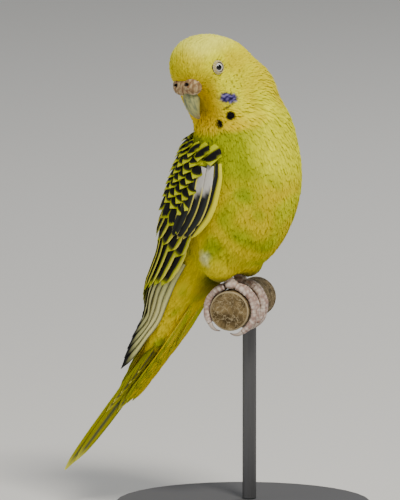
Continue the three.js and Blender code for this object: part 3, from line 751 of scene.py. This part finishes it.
body_at = ring_roots(1.05, 0.9, 1.0, 116)
body_at = body_at[neck_side(body_at) >= -1.5]
arc, angle = along_axis(body_at)
turn = np.abs(np.degrees(angle))
under_wing = (turn > 108) & (arc > 34) & (arc < 100)
mantle = turn > 150
body_at = body_at[~under_wing | mantle]
arc, angle = along_axis(body_at)
size = 0.62 + 0.38 * smooth(8, 34, arc)
body_length = 5.4 * size * RNG.uniform(0.8, 1.3, len(body_at))
body_width = 1.5 * size * RNG.uniform(0.85, 1.15, len(body_at))
tufts("body_tufts", body_at, body_length, body_width, -COAT_DEPTH - 0.1, -0.25)

# longer, looser feathers at the vent run on over the roots of the tail's coverts
vent_at = ring_roots(1.8, 1.3, 76, 102)
turn = np.abs(np.degrees(along_axis(vent_at)[1]))
vent_at = vent_at[turn < 125]
tufts("vent_tufts", vent_at, RNG.uniform(8, 11, len(vent_at)), RNG.uniform(2.0, 2.8, len(vent_at)),
      -COAT_DEPTH, 0.7)

# Wings

# The folded wing's leading edge: stations down the axis, and the angle round it at each
LEADING_EDGE = np.array([(22, 84), (27, 75), (32, 70), (43, 72), (49, 76), (56, 85), (62, 92), (76, 95),
                         (99, 93), (127, 102)], float)
BACK_EDGE = 175.0


def on_wing(arc, t, side, lift):
    """A point of the folded wing: t is 0 at the leading edge and 1 at the middle of the back."""
    edge = np.interp(arc, LEADING_EDGE[:, 0], LEADING_EDGE[:, 1])
    turn = np.radians(edge + (BACK_EDGE - edge) * t)
    point, _, front, left = station(arc)
    out = front * np.cos(turn)[:, None] + left * (side * np.sin(turn))[:, None]
    start = cast(SUPPORT, point, out, 0.0)
    return settle(SUPPORT, start, lift, 2)[0]


OUTLINES = {
    "round": [(0, 0.6), (0.25, 0.86), (0.5, 1.0), (0.72, 0.98), (0.86, 0.8), (0.95, 0.52), (1, 0.14)],
    "long": [(0, 0.55), (0.3, 0.86), (0.6, 1.0), (0.8, 0.9), (0.91, 0.68), (0.97, 0.42), (1, 0.12)],
    "steady": [(0, 0.7), (0.2, 0.92), (0.45, 1.0), (0.7, 0.92), (0.86, 0.76), (0.96, 0.5), (1, 0.2)],
    "blade": [(0, 0.6), (0.25, 0.9), (0.5, 1.0), (0.72, 0.88), (0.88, 0.6), (0.96, 0.34), (1, 0.08)],
}
ACROSS = 9
ALONG = 17
VANE_FACES = grid_faces(ALONG, ACROSS)
VANE_THICKNESS = 0.00012  # metres


def vane_grid(spine_points, normals_at, width, outline, side, tilt, camber):
    """Vertices of one feather from points down its middle: rows along it, columns across."""
    stops = np.array(OUTLINES[outline], float)
    v = np.linspace(0, 1, ALONG) ** 0.9
    share = np.interp(v, stops[:, 0], stops[:, 1])
    given = np.linspace(0, 1, len(spine_points))
    spine = sampled(v, given, spine_points)
    normal = unit(sampled(v, given, normals_at))
    along = unit(np.gradient(spine, axis=0))
    cross = unit(np.cross(normal, along)) * -side
    u = np.linspace(-1, 1, ACROSS)
    grid = spine[:, None, :] + cross[:, None, :] * (u[None, :] * share[:, None] * width / 2)[..., None]
    height = tilt * u[None, :] * share[:, None] - camber * (u[None, :] ** 2) * share[:, None]
    grid = grid + normal[:, None, :] * height[..., None]
    # the tip is rounded: its middle runs on past its sides
    back_off = 0.22 * width * u[None, :] ** 2 * smooth(0.55, 1.0, v)[:, None]
    grid = grid - along[:, None, :] * back_off[..., None]
    return grid, np.broadcast_to(u, (ALONG, ACROSS)), np.broadcast_to(v[:, None], (ALONG, ACROSS))


def vanes(name, feathers, node=None):
    """Joins feathers, each given as (grid, u, v, colours), into one piece."""
    points, faces, colours, uvs, bake = [], [], [], [], []
    per = ALONG * ACROSS
    for i, (grid, u, v, colour) in enumerate(feathers):
        points.append(grid.reshape(-1, 3))
        faces.append(VANE_FACES + i * per)
        colours.append(colour.reshape(-1, 3))
        uvs.append(np.stack([u * 0.5 + i * 3.1, v + i * 1.7], axis=-1).reshape(-1, 2))
        root = bake_place(grid[:1, ACROSS // 2])[0]
        bake.append((root + bake_patch(u, v)).reshape(-1, 2))
    piece = make_mesh(name, np.vstack(points), np.vstack(faces), np.vstack(colours), feather_sleek,
                      uvs=np.vstack(uvs), bake=np.vstack(bake))
    solid = piece.modifiers.new("thickness", "SOLIDIFY")
    solid.thickness = VANE_THICKNESS
    solid.offset = -1
    if node:
        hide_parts(node)


EDGE_GREEN = (0.46, 0.50, 0.0)
EDGE_PALE = (0.78, 0.70, 0.10)


def barred(u, v):
    """A lesser covert: a black crescent inside a yellow-green rim that follows its round end."""
    flank = smooth(0.62, 0.84, np.abs(u)) * smooth(0.58, 0.74, v)
    rim = np.maximum(smooth(0.76, 0.84, v + 0.05 * u * u), flank)
    dark = smooth(0.30, 0.42, v) * (1 - rim)
    return mix(mix(EDGE_GREEN, (0.70, 0.68, 0.04), smooth(0.85, 1.0, v)), BLACK, dark)


def oval(u, v):
    """A median covert: a large black oval inside a yellow-green edge."""
    dark = smooth(1.0, 0.86, np.hypot(u / 0.86, (v - 0.5) / 0.44))
    return mix(mix(EDGE_GREEN, EDGE_PALE, smooth(0.8, 1.0, np.abs(u))), BLACK, dark)


def long_dark(u, v):
    """A long covert by the wing's leading edge: slate and black, with a thin yellow rim."""
    edge = np.maximum(np.abs(u), smooth(0.86, 1.02, v))
    colour = mix(SLATE, BLACK, smooth(0.5, 0.0, np.abs(u)))
    return mix(colour, EDGE_PALE, smooth(0.8, 0.88, edge))


def outermost(u, v):
    """The covert along the wing's leading edge, with a broad yellow outer web."""
    return mix(long_dark(u, v), (0.72, 0.66, 0.02), smooth(0.15, 0.35, u))


def grey_backed(u, v):
    """The covert whose upper half is grey-white."""
    pale = smooth(0.40, 0.31, v + 0.10 * u)
    return mix(long_dark(u, v), (0.50, 0.48, 0.44), pale)


def green_edged(u, v):
    """A greater covert or secondary: a long black centre with a yellow-green edge."""
    colour = mix(EDGE_GREEN, EDGE_PALE, smooth(0.7, 0.98, np.abs(u)))
    centre = smooth(0.82, 0.66, np.abs(u + 0.08)) * smooth(0.04, 0.16, v) * smooth(0.96, 0.86, v)
    return mix(colour, BLACK, centre)


def primary(u, v):
    """A primary: its outer web pale with a fine dark edge, the rest and its tip black."""
    pale = smooth(0.1, 0.3, u) * smooth(0.96, 0.78, v)
    colour = mix(BLACK, mix((0.74, 0.70, 0.30), (0.56, 0.56, 0.22), 0.5 + 0.5 * np.sin(9 * v)), pale)
    return mix(colour, SLATE, 0.85 * smooth(0.9, 0.96, u))


def wing_feathers(side, rows):
    """Feathers of one wing: each row is a dict of ranges from the leading edge to the back."""
    made = []
    for row in rows:
        count = row["count"]
        s = np.linspace(0, 1, count)
        stop = np.linspace(0, 1, 7)
        keys = ("root_arc", "tip_arc", "root_t", "tip_t", "width")
        root_arc, tip_arc, root_t, tip_t, width = (between(row[key], s) for key in keys)
        tip_arc = tip_arc + RNG.uniform(-0.5, 0.5, count)
        width = width * RNG.uniform(0.95, 1.05, count)
        for i in range(count):
            arc = between((root_arc[i], tip_arc[i]), stop)
            t = between((root_t[i], tip_t[i]), stop)
            level = between(row["lift"], stop) + 0.05 * (i % 2)
            spine = on_wing(arc, t, side, level)
            normal = field(SUPPORT, spine)[1]
            grid, u, v = vane_grid(spine, normal, width[i], row["shape"], side,
                                   row.get("tilt", 0.35), row.get("camber", 0.35))
            tone = 1 + RNG.normal(0, 0.05)
            paint = row["paint"][i] if isinstance(row["paint"], list) else row["paint"]
            made.append((grid, u, v, paint(u, v) * tone))
    return made


def lesser_rows():
    rows = []
    for i in range(8):
        arc = 21 + 3.1 * i
        first = (0.08 if i < 1 else 0.25) + 0.07 * (i % 2)
        count = 7 if i < 1 else 6
        rows.append(dict(count=count, root_arc=(arc + 1.5, arc - 1), tip_arc=(arc + 9.5, arc + 7.5),
                         root_t=(first, 0.95), tip_t=(first, 0.95), width=(8.8, 8.6),
                         lift=(1.2, 3.5), shape="round", paint=barred, tilt=0.0, camber=1.05))
    return rows


COVERT_ROWS = lesser_rows() + [
    dict(count=6, root_arc=(45, 43), tip_arc=(59, 57), root_t=(0.24, 0.95), tip_t=(0.24, 0.95),
         width=(8.6, 8.2), lift=(1.3, 3.7), shape="round", paint=oval, tilt=0.0, camber=1.0),
    dict(count=8, root_arc=(51, 49), tip_arc=(70, 73), root_t=(0.14, 0.94), tip_t=(0.14, 0.94),
         width=(7.0, 7.0), lift=(1.3, 3.6), shape="long", paint=green_edged),
    dict(count=8, root_arc=(59, 58), tip_arc=(85, 102), root_t=(0.14, 0.93), tip_t=(0.17, 0.93),
         width=(7.4, 7.2), lift=(2.0, 2.6), shape="long", paint=green_edged),
    dict(count=4, root_arc=(33, 29), tip_arc=(63, 58), root_t=(0.27, 0.02), tip_t=(0.27, 0.03),
         width=(6.0, 5.2), lift=(2.2, 3.7), shape="long",
         paint=[long_dark, grey_backed, grey_backed, outermost]),
]
PRIMARY_ROWS = [
    dict(count=6, root_arc=(72, 75), tip_arc=(126.5, 107), root_t=(0.06, 0.46), tip_t=(0.28, 0.82),
         width=(6.4, 7.6), lift=(0.7, 1.3), shape="long", paint=primary, tilt=0.3, camber=0.15),
]

for label, side in BOTH_SIDES:
    vanes("wing_coverts_" + label, wing_feathers(side, COVERT_ROWS), "wing_" + label)
    vanes("flight_feathers_" + label, wing_feathers(side, PRIMARY_ROWS),
          f"wing_{label}_primaries")

# Tail

# The tail's pairs, from the middle one out: stations of the right and left tips, half the spread
# of the tips and each feather's width
TAIL_TIPS = [(177.6, 172.5), (147, 145.8), (142, 141), (137, 136.2), (131, 130.4), (125, 124.6)]
TAIL_SHIFTS = [1.5, 2.2, 2.8, 3.2, 3.5, 3.7]
TAIL_WIDTHS = [6.2, 6.4, 6.4, 6.2, 5.8, 5.2]
TAIL_ROOT = 108.0
TAIL_TOP = 1.3  # the middle pair's height towards the back, and the step from one to the next
TAIL_STEP = 0.42
TAIL_DROOP = 0.032  # the outer feathers lie lower, as the square of their distance across
TAIL_ROLL = 0.3  # the tail's free part is turned about its length
ROLL_FROM, ROLL_OVER = 112.6, 30.0


def tail_feather(root, tip, width, outline, paint, camber=0.25):
    """A feather by the tail, from root to tip: (arc, across, height towards the back) each."""
    stop = np.linspace(0, 1, 7)
    arc, across, height = (between(ends, stop) for ends in zip(root, tip))
    point, _, front, left = station(arc)
    roll = TAIL_ROLL * np.clip((arc - ROLL_FROM) / ROLL_OVER, 0, 1)
    fall = TAIL_DROOP * across**2 + roll * across - height
    spine = point + left * across[:, None] + front * fall[:, None]
    back = unit(roll[:, None] * left - front)
    grid, u, v = vane_grid(spine, back, width, outline, -1, 0.0, camber)
    return grid, u, v, paint(u, v)


def tail_paint(u, v):
    """Yellow with a blue-grey and green line down its middle, and a pale tip."""
    colour = mix((0.62, 0.52, 0.0), (0.40, 0.42, 0.0), smooth(0.2, 0.9, np.abs(u)))
    line = smooth(0.42, 0.12, np.abs(u)) * smooth(0.99, 0.9, v)
    colour = mix(colour, TAIL_BLUE, 0.9 * line)
    return mix(colour, PALE, smooth(0.9, 1.0, v))


def under_paint(u, v):
    colour = mix((0.74, 0.56, 0.0), (0.42, 0.46, 0.0), 0.5 + 0.5 * np.sin(7 * v + 2 * u))
    return mix(colour, LEAF, 0.4 * smooth(0.5, 0.1, np.abs(u)) * smooth(0.3, 0.6, v))


tail_parts = []
for pair, tips in enumerate(TAIL_TIPS):
    for i, side in enumerate((-1, 1)):
        height = TAIL_TOP - TAIL_STEP * (pair + i / 2)
        spread = side * TAIL_SHIFTS[pair]
        end = spread * 0.5 if pair == 0 else spread
        shape = "steady" if pair == 0 else "blade"
        tail_parts.append(tail_feather((TAIL_ROOT, spread * 0.6, height), (tips[i], end, height),
                                       TAIL_WIDTHS[pair], shape, tail_paint))
vanes("tail_vanes", tail_parts, "tail")

# Each tier's stations of root and tip down the axis, their heights, its spread and its count
COVERT_TIERS = [
    ((84, 112), (-4.6, -4.3), 3.6, 6), ((89, 119), (-4.5, -3.9), 3.2, 5),
    ((93, 126), (-4.2, -3.3), 2.6, 4), ((98, 133), (-3.8, -2.8), 2.3, 4),
    ((101, 140), (-3.4, -2.3), 1.9, 3), ((90, 124), (4.9, 4.1), 3.0, 4),
    ((92, 131), (4.6, 3.4), 2.6, 4), ((96, 137), (3.6, 2.5), 2.2, 3), ((98, 142), (3.0, 1.9), 1.6, 3),
]
covert_parts = []
for (first, last), (root_height, tip_height), spread, count in COVERT_TIERS:
    for i in range(count):
        place = 2 * i / (count - 1) - 1
        root = (first, place * spread, root_height)
        tip = (last - 2 * place**2 + RNG.uniform(-1, 1), place * spread * 0.9, tip_height)
        covert_parts.append(tail_feather(root, tip, 4.6, "long", under_paint, 0.4))
vanes("tail_coverts", covert_parts)

# Face: eyes, cere and bill


def band(first, second, sides):
    """Quads between two rings of vertices, given the number of each ring's first vertex."""
    ring = np.arange(sides)
    after = (ring + 1) % sides
    return np.column_stack([first + ring, first + after, second + after, second + ring])


def sphere_points(rings, sides):
    """A unit sphere about z: vertices and quads, with its poles as short rings."""
    theta = np.linspace(0.02, math.pi - 0.02, rings)
    phi = circle(sides)
    p = np.stack([np.sin(theta)[:, None] * np.cos(phi), np.sin(theta)[:, None] * np.sin(phi),
                  np.cos(theta)[:, None] * np.ones(sides)], axis=-1)
    faces = [band((i + 1) * sides, i * sides, sides) for i in range(rings - 1)]
    return p.reshape(-1, 3), np.vstack(faces)


def facing(direction):
    """A rotation that takes z to a direction."""
    return np.array(Vector(direction).to_track_quat("Z", "Y").to_matrix())


def tube(route, radius, sides):
    """A closed round bar along a curve, with a radius for each of its rings or vertices."""
    route = np.asarray(route, float)
    tangent = unit(np.gradient(route, axis=0))
    across = unit(np.cross(tangent, unit(np.array([0.31, 0.2, 0.93]))))
    over = np.cross(tangent, across)
    phi = circle(sides)
    r = np.asarray(radius)
    spokes = across[:, None] * np.cos(phi)[None, :, None] + over[:, None] * np.sin(phi)[None, :, None]
    ring = route[:, None] + spokes * (r[:, None, None] if r.ndim == 1 else r[..., None])
    faces = [band(i * sides, (i + 1) * sides, sides) for i in range(len(route) - 1)]
    points = ring.reshape(-1, 3)
    total = len(points)
    points = np.vstack([points, route[:1], route[-1:]])
    last = (len(route) - 1) * sides
    for j in range(sides):
        k = (j + 1) % sides
        faces.append([(total, k, j, j), (total + 1, last + j, last + k, last + k)])
    return points, np.vstack(faces)


def per_vertex(values, sides, ends=(0, 0)):
    """A bar's value for each vertex, from those of its rings and its two ends."""
    return np.concatenate([np.repeat(values, sides), ends])


def closed_mesh(name, points, faces, colours, material, slot, *nodes):
    """A mesh from points and faces, where a quad that repeats a corner is a triangle."""
    mesh = bpy.data.meshes.new(name)
    clean = [tuple(dict.fromkeys(int(i) for i in f)) for f in faces]
    mesh.from_pydata([tuple(p) for p in (np.asarray(points) + ORIGIN) * MM], [], clean)
    mesh.update()
    made = finish_mesh(name, mesh, colours, material)
    if nodes:
        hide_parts(*nodes)


eye_gloss = attribute_material("eye_gloss", 0.1, 0.35)
horn = attribute_material("horn", 0.42, 0.45, bump=("plain", 500.0, 0.3, 0.0003))
cere_skin = attribute_material("cere_skin", 0.62, 0.35, subsurface=0.1,
                               bump=("plain", 1500.0, 0.8, 0.0004))
lid_skin = attribute_material("lid_skin", 0.6, 0.3, bump=("plain", 1800.0, 0.6, 0.0003))


def build_eye(label, side):
    centre, out = EYES[side]
    turn = facing(out)
    points, faces = sphere_points(60, 48)
    gaze = unit(out + 0.10 * HEAD[:3, 0]) @ turn
    theta = np.degrees(np.arccos(np.clip(points @ gaze, -1, 1)))
    pupil = smooth(24.5, 22.5, theta)
    iris = smooth(38, 36, theta)
    colour = mix((0.03, 0.025, 0.02), (0.86, 0.83, 0.74), iris)
    colour = mix(colour, (0.004, 0.004, 0.004), pupil)
    bulge = 1 + 0.05 * smooth(40, 5, np.degrees(np.arccos(np.clip(points[:, 2], -1, 1))))
    place = (points * bulge[:, None] * EYE["radius"]) @ turn.T + centre - out * EYE["sunk"]
    closed_mesh("eyeball_" + label, place, faces, colour, eye_gloss, "eye", "eye_" + label)
    # bare lids: a raised ring of fine folds round the opening
    sides, rings = 72, 14
    phi = circle(sides)
    points, faces, colours = [], [], []
    for i, t in enumerate(np.linspace(0, 1, rings)):
        radius = 1.55 + 0.9 * t
        fold = 0.10 * np.sin(phi * 18 + 5 * t) * np.sin(math.pi * t)
        height = 0.38 + 0.34 * math.sin(math.pi * min(1, t * 1.25)) ** 0.8 - 0.95 * t**2 + fold
        height = height + 0.10 * np.sin(t * 16)
        ring = np.column_stack([radius * np.cos(phi) * 0.9, radius * np.sin(phi) * 1.08, height])
        points.append(ring @ turn.T + centre)
        # painted light and shade on the folds: lighter along their ridges, darker in their grooves
        shade = mix((0.34, 0.26, 0.08), (0.70, 0.62, 0.34), 0.5 + 0.5 * np.sin(phi * 18 + 5 * t))
        rim = smooth(0.3, 0.12, np.full(sides, t))
        colours.append(mix(shade, (0.05, 0.035, 0.03), rim))
        if i:
            faces.append(band(i * sides, (i - 1) * sides, sides))
    closed_mesh("eyelid_" + label, np.vstack(points), np.vstack(faces), np.vstack(colours),
                lid_skin, "eye")


for label, side in BOTH_SIDES:
    build_eye(label, side)


def build_cere():
    """Two swollen lobes in one band, found as the surface of melted eggs, with nostrils."""
    eggs = [((10.8, s * 3.0, -0.9), (3.6, 3.5, 3.4)) for s in (-1, 1)]
    eggs.append(((10.7, 0, -0.7), (3.7, 3.4, 3.1)))
    low, high, pitch = (6.0, -8.2, -6.2), (16.2, 8.2, 4.2), 0.16
    grid, count = sample_grid(low, high, pitch)
    total = 0
    for c, r in eggs:
        k = norm((grid - c) / r)
        total = total + np.exp(-(k - 1) * min(r) / 0.45)
    value = -0.45 * np.log(total) + 0.10 * noise(grid, 0.9, 2.0) + 0.05 * noise(grid, 0.35, 6.0)
    for s in (-1, 1):
        q = grid - (14.0, s * 2.9, 0.5)
        lean = q[:, 2] + s * q[:, 1] * 0.35
        hole = 1 - norm(np.column_stack([q[:, 0] / 2.2, q[:, 1] / 0.95, lean / 0.5]))
        value = np.maximum(value, hole * 0.5)
    points, quads = surface_net(value.reshape(count), np.array(low), pitch)
    rough = noise(points, 0.6, 1.0)
    colour = mix((0.22, 0.13, 0.05), (0.46, 0.33, 0.17), smooth(-0.4, 0.5, rough))
    colour = mix(colour, (0.20, 0.06, 0.02), 0.75 * smooth(0.2, 0.6, noise(points, 0.5, 7.0)))
    colour = mix(colour, (0.62, 0.50, 0.36), smooth(-3.0, -4.2, points[:, 2]))
    # painted shade: the nostrils' hollows and rims are painted near-black
    for s in (-1, 1):
        near = norm((points - (13.8, s * 2.9, 0.5)) / (2.4, 1.1, 0.65))
        colour = mix(colour, (0.02, 0.012, 0.01), smooth(1.15, 0.9, near))
    closed_mesh("cere_skin", moved(HEAD, points), quads, colour, cere_skin, "cere", "cere")


build_cere()


def curve(points, count):
    return centripetal(np.array(points, float), count)[0]


def build_bill():
    route = curve([(7.2, 0, -3.6), (10.5, 0, -4.8), (11.6, 0, -8), (11.4, 0, -11), (10.6, 0, -13.6)], 40)
    t = np.linspace(0, 1, 40)
    radius = between((3.5, 0.55), t**2.2)
    sides = 40
    phi = circle(sides)
    ridge = 1 + 0.03 * np.cos(phi * 10)[None, :] * (1 - t)[:, None]
    points, faces = tube(moved(HEAD, route), radius[:, None] * ridge, sides)
    local = moved(HEAD_INVERSE, points)
    streak = noise(local * (1, 2.6, 0.35), 0.8, 3.0)
    colour = mix((0.15, 0.17, 0.08), (0.34, 0.34, 0.12), smooth(-0.3, 0.5, streak))
    colour = mix(colour, (0.30, 0.22, 0.12), smooth(-10.5, -13.2, local[:, 2]) * 0.7)
    closed_mesh("bill_upper_horn", points, faces, colour, horn, "bill", "bill_upper")
    route = curve([(3.6, 0, -8.6), (5.8, 0, -10.0), (7.3, 0, -11.0)], 16)
    radius = np.linspace(2.3, 0.7, 16)
    points, faces = tube(moved(HEAD, route), radius, 24)
    colour = np.tile(np.array([0.22, 0.18, 0.09]), (len(points), 1))
    closed_mesh("bill_lower_horn", points, faces, colour, horn, "bill", "bill_lower")


build_bill()

# Feet: scaly toes that grip the dowel, and claws

PERCH_RADIUS = 7.3
TOE_RADIUS = 1.3
GRIP_GAP = 0.3
TOE_REACH = PERCH_RADIUS + GRIP_GAP + TOE_RADIUS
FOOT_PLACE = 6.1  # each foot's distance from the middle, along the dowel
CLAW = {"length": 4.6, "radii": (0.85, 0.16)}
# Each toe: its name, the angles round the dowel of its root and tip, its place, and its spread
TOES = [("1", 106, 186, -0.9, -1.0), ("2", 76, -38, -1.5, -0.9), ("3", 76, -58, 1.4, 0.8),
        ("4", 106, 212, 1.5, 0.9)]


def on_dowel(angle, reach, y):
    a = np.radians(angle)
    return np.column_stack([reach * np.cos(a), y * np.ones_like(a), reach * np.sin(a)])


def foot_colour(points, scale_wave):
    base = mix((0.34, 0.22, 0.18), (0.62, 0.52, 0.45), smooth(-0.5, 0.6, noise(points, 0.9)))
    return mix(base, (0.20, 0.13, 0.11), 0.5 * smooth(0.6, 0.95, scale_wave))


def foot_mesh(name, points, faces, scale_wave, *nodes):
    colours = foot_colour(points, scale_wave)
    closed_mesh(name, points, faces, colours, bare_skin, "foot_skin", *nodes)


def build_foot(label, side):
    y0 = side * FOOT_PLACE
    for name, start, end, place, spread in TOES:
        steps = 60
        t = np.linspace(0, 1, steps)
        y = y0 + side * (place + spread * t)
        route = on_dowel(start + (end - start) * t, TOE_REACH, y)
        sides = 20
        swell = TOE_RADIUS * (1 - 0.16 * t) * (1 - 0.07 * np.cos(6 * math.pi * t))
        wave = 0.5 + 0.5 * np.cos(t * 2 * math.pi * 13 + 1.6 * np.sin(11 * t + place))
        lumps = np.sin(17 * t + place)[:, None] * np.sin(3 * circle(sides) + 9 * t[:, None])
        radius = swell[:, None] * (1 - 0.05 * (wave[:, None] > 0.93) + 0.045 * lumps)
        points, faces = tube(route, radius, sides)
        foot_mesh(f"toe_skin_{label}_{name}", points, faces, per_vertex(wave, sides),
                  f"toe_{label}_{name}")
        turn = math.copysign(1, end - start)
        sweep = turn * CLAW["length"] * 180 / (math.pi * TOE_REACH)
        t = np.linspace(0, 1, 16)
        reach = TOE_REACH + 0.35 * np.sin(math.pi * t) - 0.6 * t * t
        angle = end + turn * 1.0 + (sweep + turn * 1.3) * t
        route = on_dowel(angle, reach, y0 + side * (place + spread))
        points, faces = tube(route, between(CLAW["radii"], t**1.2), 14)
        shade = per_vertex(t, 14, (0, 1))
        colour = mix((0.55, 0.46, 0.38), (0.22, 0.17, 0.14), shade)
        closed_mesh(f"claw_horn_{label}_{name}", points, faces, colour, horn,
                    "claw", f"claw_{label}_{name}")
    top = PERCH_RADIUS + GRIP_GAP
    steps = 30
    route = curve([(-4.0, y0 * 1.12, top + 11), (-2.2, y0 * 1.04, top + 5.5), (0, y0, top + 1.9),
                   (0.4, y0, top + 1.0)], steps)
    t = np.linspace(0, 1, steps)
    wave = 0.5 + 0.5 * np.cos(t * 2 * math.pi * 9)
    radius = np.where(t < 0.85, 1.5 + 0.25 * t, 1.9) * (1 - 0.05 * (wave > 0.9))
    points, faces = tube(route, radius, 20)
    foot_mesh(f"shank_skin_{label}", points, faces, per_vertex(wave, 20), f"tarsus_{label}")
    points, faces = sphere_points(20, 24)
    points = points * (2.6, 2.9, 1.7) + (0, y0, top + 1.7)
    foot_mesh(f"foot_pad_{label}", points, faces, np.zeros(len(points)))


for label, side in BOTH_SIDES:
    build_foot(label, side)

# Perch and stand


def plain_material(name, colour, roughness, metallic=0.0):
    inputs = {"Base Color": (*colour, 1), "Roughness": roughness, "Metallic": metallic}
    return new_material(name, inputs)[0]


def give(node, material):
    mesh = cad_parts[node].data
    mesh.materials.clear()
    mesh.materials.append(material)


def wood_material(name, axis_at, dark, light, rim, rim_from):
    """Scratched wood, brown at heart, with a paler ring from a distance off the dowel's axis on."""
    material, tree, shader = new_material(name, {"Roughness": 0.85, "Specular IOR Level": 0.2})
    place = add_node(tree, "TexCoord", {}).outputs["Object"]
    grain = add_node(tree, "TexNoise", {"Scale": 380, "Detail": 8, "Vector": place})
    wander = add_node(tree, "VectorMath",
                      {0: grain.outputs["Color"], 1: (GRAIN_WANDER,) * 3, 2: place},
                      operation="MULTIPLY_ADD")
    scratch = add_node(tree, "TexVoronoi", {"Scale": 420, "Vector": wander.outputs["Vector"]},
                       feature="DISTANCE_TO_EDGE")
    lines = add_node(tree, "MapRange", {"From Min": 0.05, "From Max": 0.0,
                                        "Value": scratch.outputs["Distance"]})
    off_axis = add_node(tree, "VectorMath", {0: place, 1: (1, 0, 1), 2: (-axis_at[0], 0, -axis_at[1])},
                        operation="MULTIPLY_ADD")
    distance = add_node(tree, "VectorMath", {0: off_axis.outputs["Vector"]},
                        operation="LENGTH").outputs["Value"]
    ring = add_node(tree, "MapRange", {"From Min": rim_from, "From Max": rim_from + RIM_BLEND,
                                       "Value": distance})
    inside = maths(tree, "LESS_THAN", distance, rim_from + RIM_WIDTH)
    end_ring = maths(tree, "MULTIPLY", ring.outputs["Result"], inside)
    cover = maths(tree, "MAXIMUM", lines.outputs["Result"], end_ring)
    soft = maths(tree, "MULTIPLY", cover, 0.75)
    ramp = add_node(tree, "ValToRGB", {"Fac": grain.outputs["Fac"]})
    for stop, at, colour in zip(ramp.color_ramp.elements, (0.36, 0.66), (dark, light)):
        stop.position = at
        stop.color = (*colour, 1)
    marked = add_node(tree, "Mix", {"Factor": soft, "A": ramp.outputs["Color"], "B": (*rim, 1)},
                      data_type="RGBA")
    feed(tree, shader, {"Base Color": marked.outputs["Result"]})
    emboss(tree, shader, grain, 0.5, 0.0004)
    return material


# In metres, as the shader takes them
GRAIN_WANDER = 0.006
RIM_FROM = 0.0066
RIM_BLEND = 0.0003
RIM_WIDTH = 0.0006

give("perch", wood_material("perch_wood", (0.0, ORIGIN[2] * MM), (0.055, 0.035, 0.012),
                            (0.20, 0.14, 0.06), (0.42, 0.34, 0.20), RIM_FROM))
give("stand_rod", plain_material("stand_metal", (0.10, 0.10, 0.105), 0.45, 0.6))
give("stand_base", plain_material("stand_base_finish", (0.09, 0.09, 0.095), 0.55))

# Floor, light and camera


def look_at(obj, target):
    direction = Vector(target) - obj.location
    obj.rotation_euler = direction.to_track_quat("-Z", "Y").to_euler()


bpy.ops.mesh.primitive_plane_add(size=12, location=(0, 0, 0))
floor = bpy.context.object
floor.name = "floor"
floor.data.materials.append(plain_material("floor_finish", (0.78, 0.77, 0.74), 0.9))

VIEW_AZIMUTH = 15.0
VIEW_ELEVATION = 8.0
VIEW_DISTANCE = 4000.0
FRAME_HEIGHT = 181.8  # of the photograph, at the bird
AIM = (-13.09, 20.9)  # the picture's middle, measured right and up from the perch frame's origin
SENSOR = 36
azimuth = math.radians(VIEW_AZIMUTH)
elevation = math.radians(VIEW_ELEVATION)
right = np.array([math.cos(azimuth), math.sin(azimuth), 0])
level = np.array([-math.sin(azimuth), math.cos(azimuth), 0])
forward = level * math.cos(elevation) - np.array([0, 0, math.sin(elevation)])
up = np.cross(right, forward)
target = AIM[0] * right + AIM[1] * up
camera_data = bpy.data.cameras.new("camera")
camera = bpy.data.objects.new("camera", camera_data)
bpy.context.scene.collection.objects.link(camera)
camera.location = Vector((target - forward * VIEW_DISTANCE + ORIGIN) * MM)
look_at(camera, Vector((target + ORIGIN) * MM))
camera_data.sensor_fit = "VERTICAL"
camera_data.sensor_height = SENSOR
camera_data.lens = SENSOR * VIEW_DISTANCE / FRAME_HEIGHT
camera_data.clip_start = 0.1
camera_data.clip_end = 50
bpy.context.scene.camera = camera


def area_light(name, offset, size, power, colour=(1, 1, 1)):
    data = bpy.data.lights.new(name, "AREA")
    data.size = size
    data.energy = power
    data.color = colour
    lamp = bpy.data.objects.new(name, data)
    bpy.context.scene.collection.objects.link(lamp)
    middle = Vector((0, 0, 0.11))
    lamp.location = middle + Vector(offset)
    look_at(lamp, middle)


area_light("key", (0.55, -0.75, 1.05), 0.3, 20, (1.0, 0.96, 0.88))
area_light("fill", (-1.1, -0.8, 0.4), 0.9, 4)
area_light("back", (0.5, 1.2, 0.9), 0.6, 7)
world = bpy.data.worlds.new("studio")
world.use_nodes = True
world.node_tree.nodes["Background"].inputs["Color"].default_value = (0.86, 0.88, 0.90, 1)
world.node_tree.nodes["Background"].inputs["Strength"].default_value = 0.3
bpy.context.scene.world = world
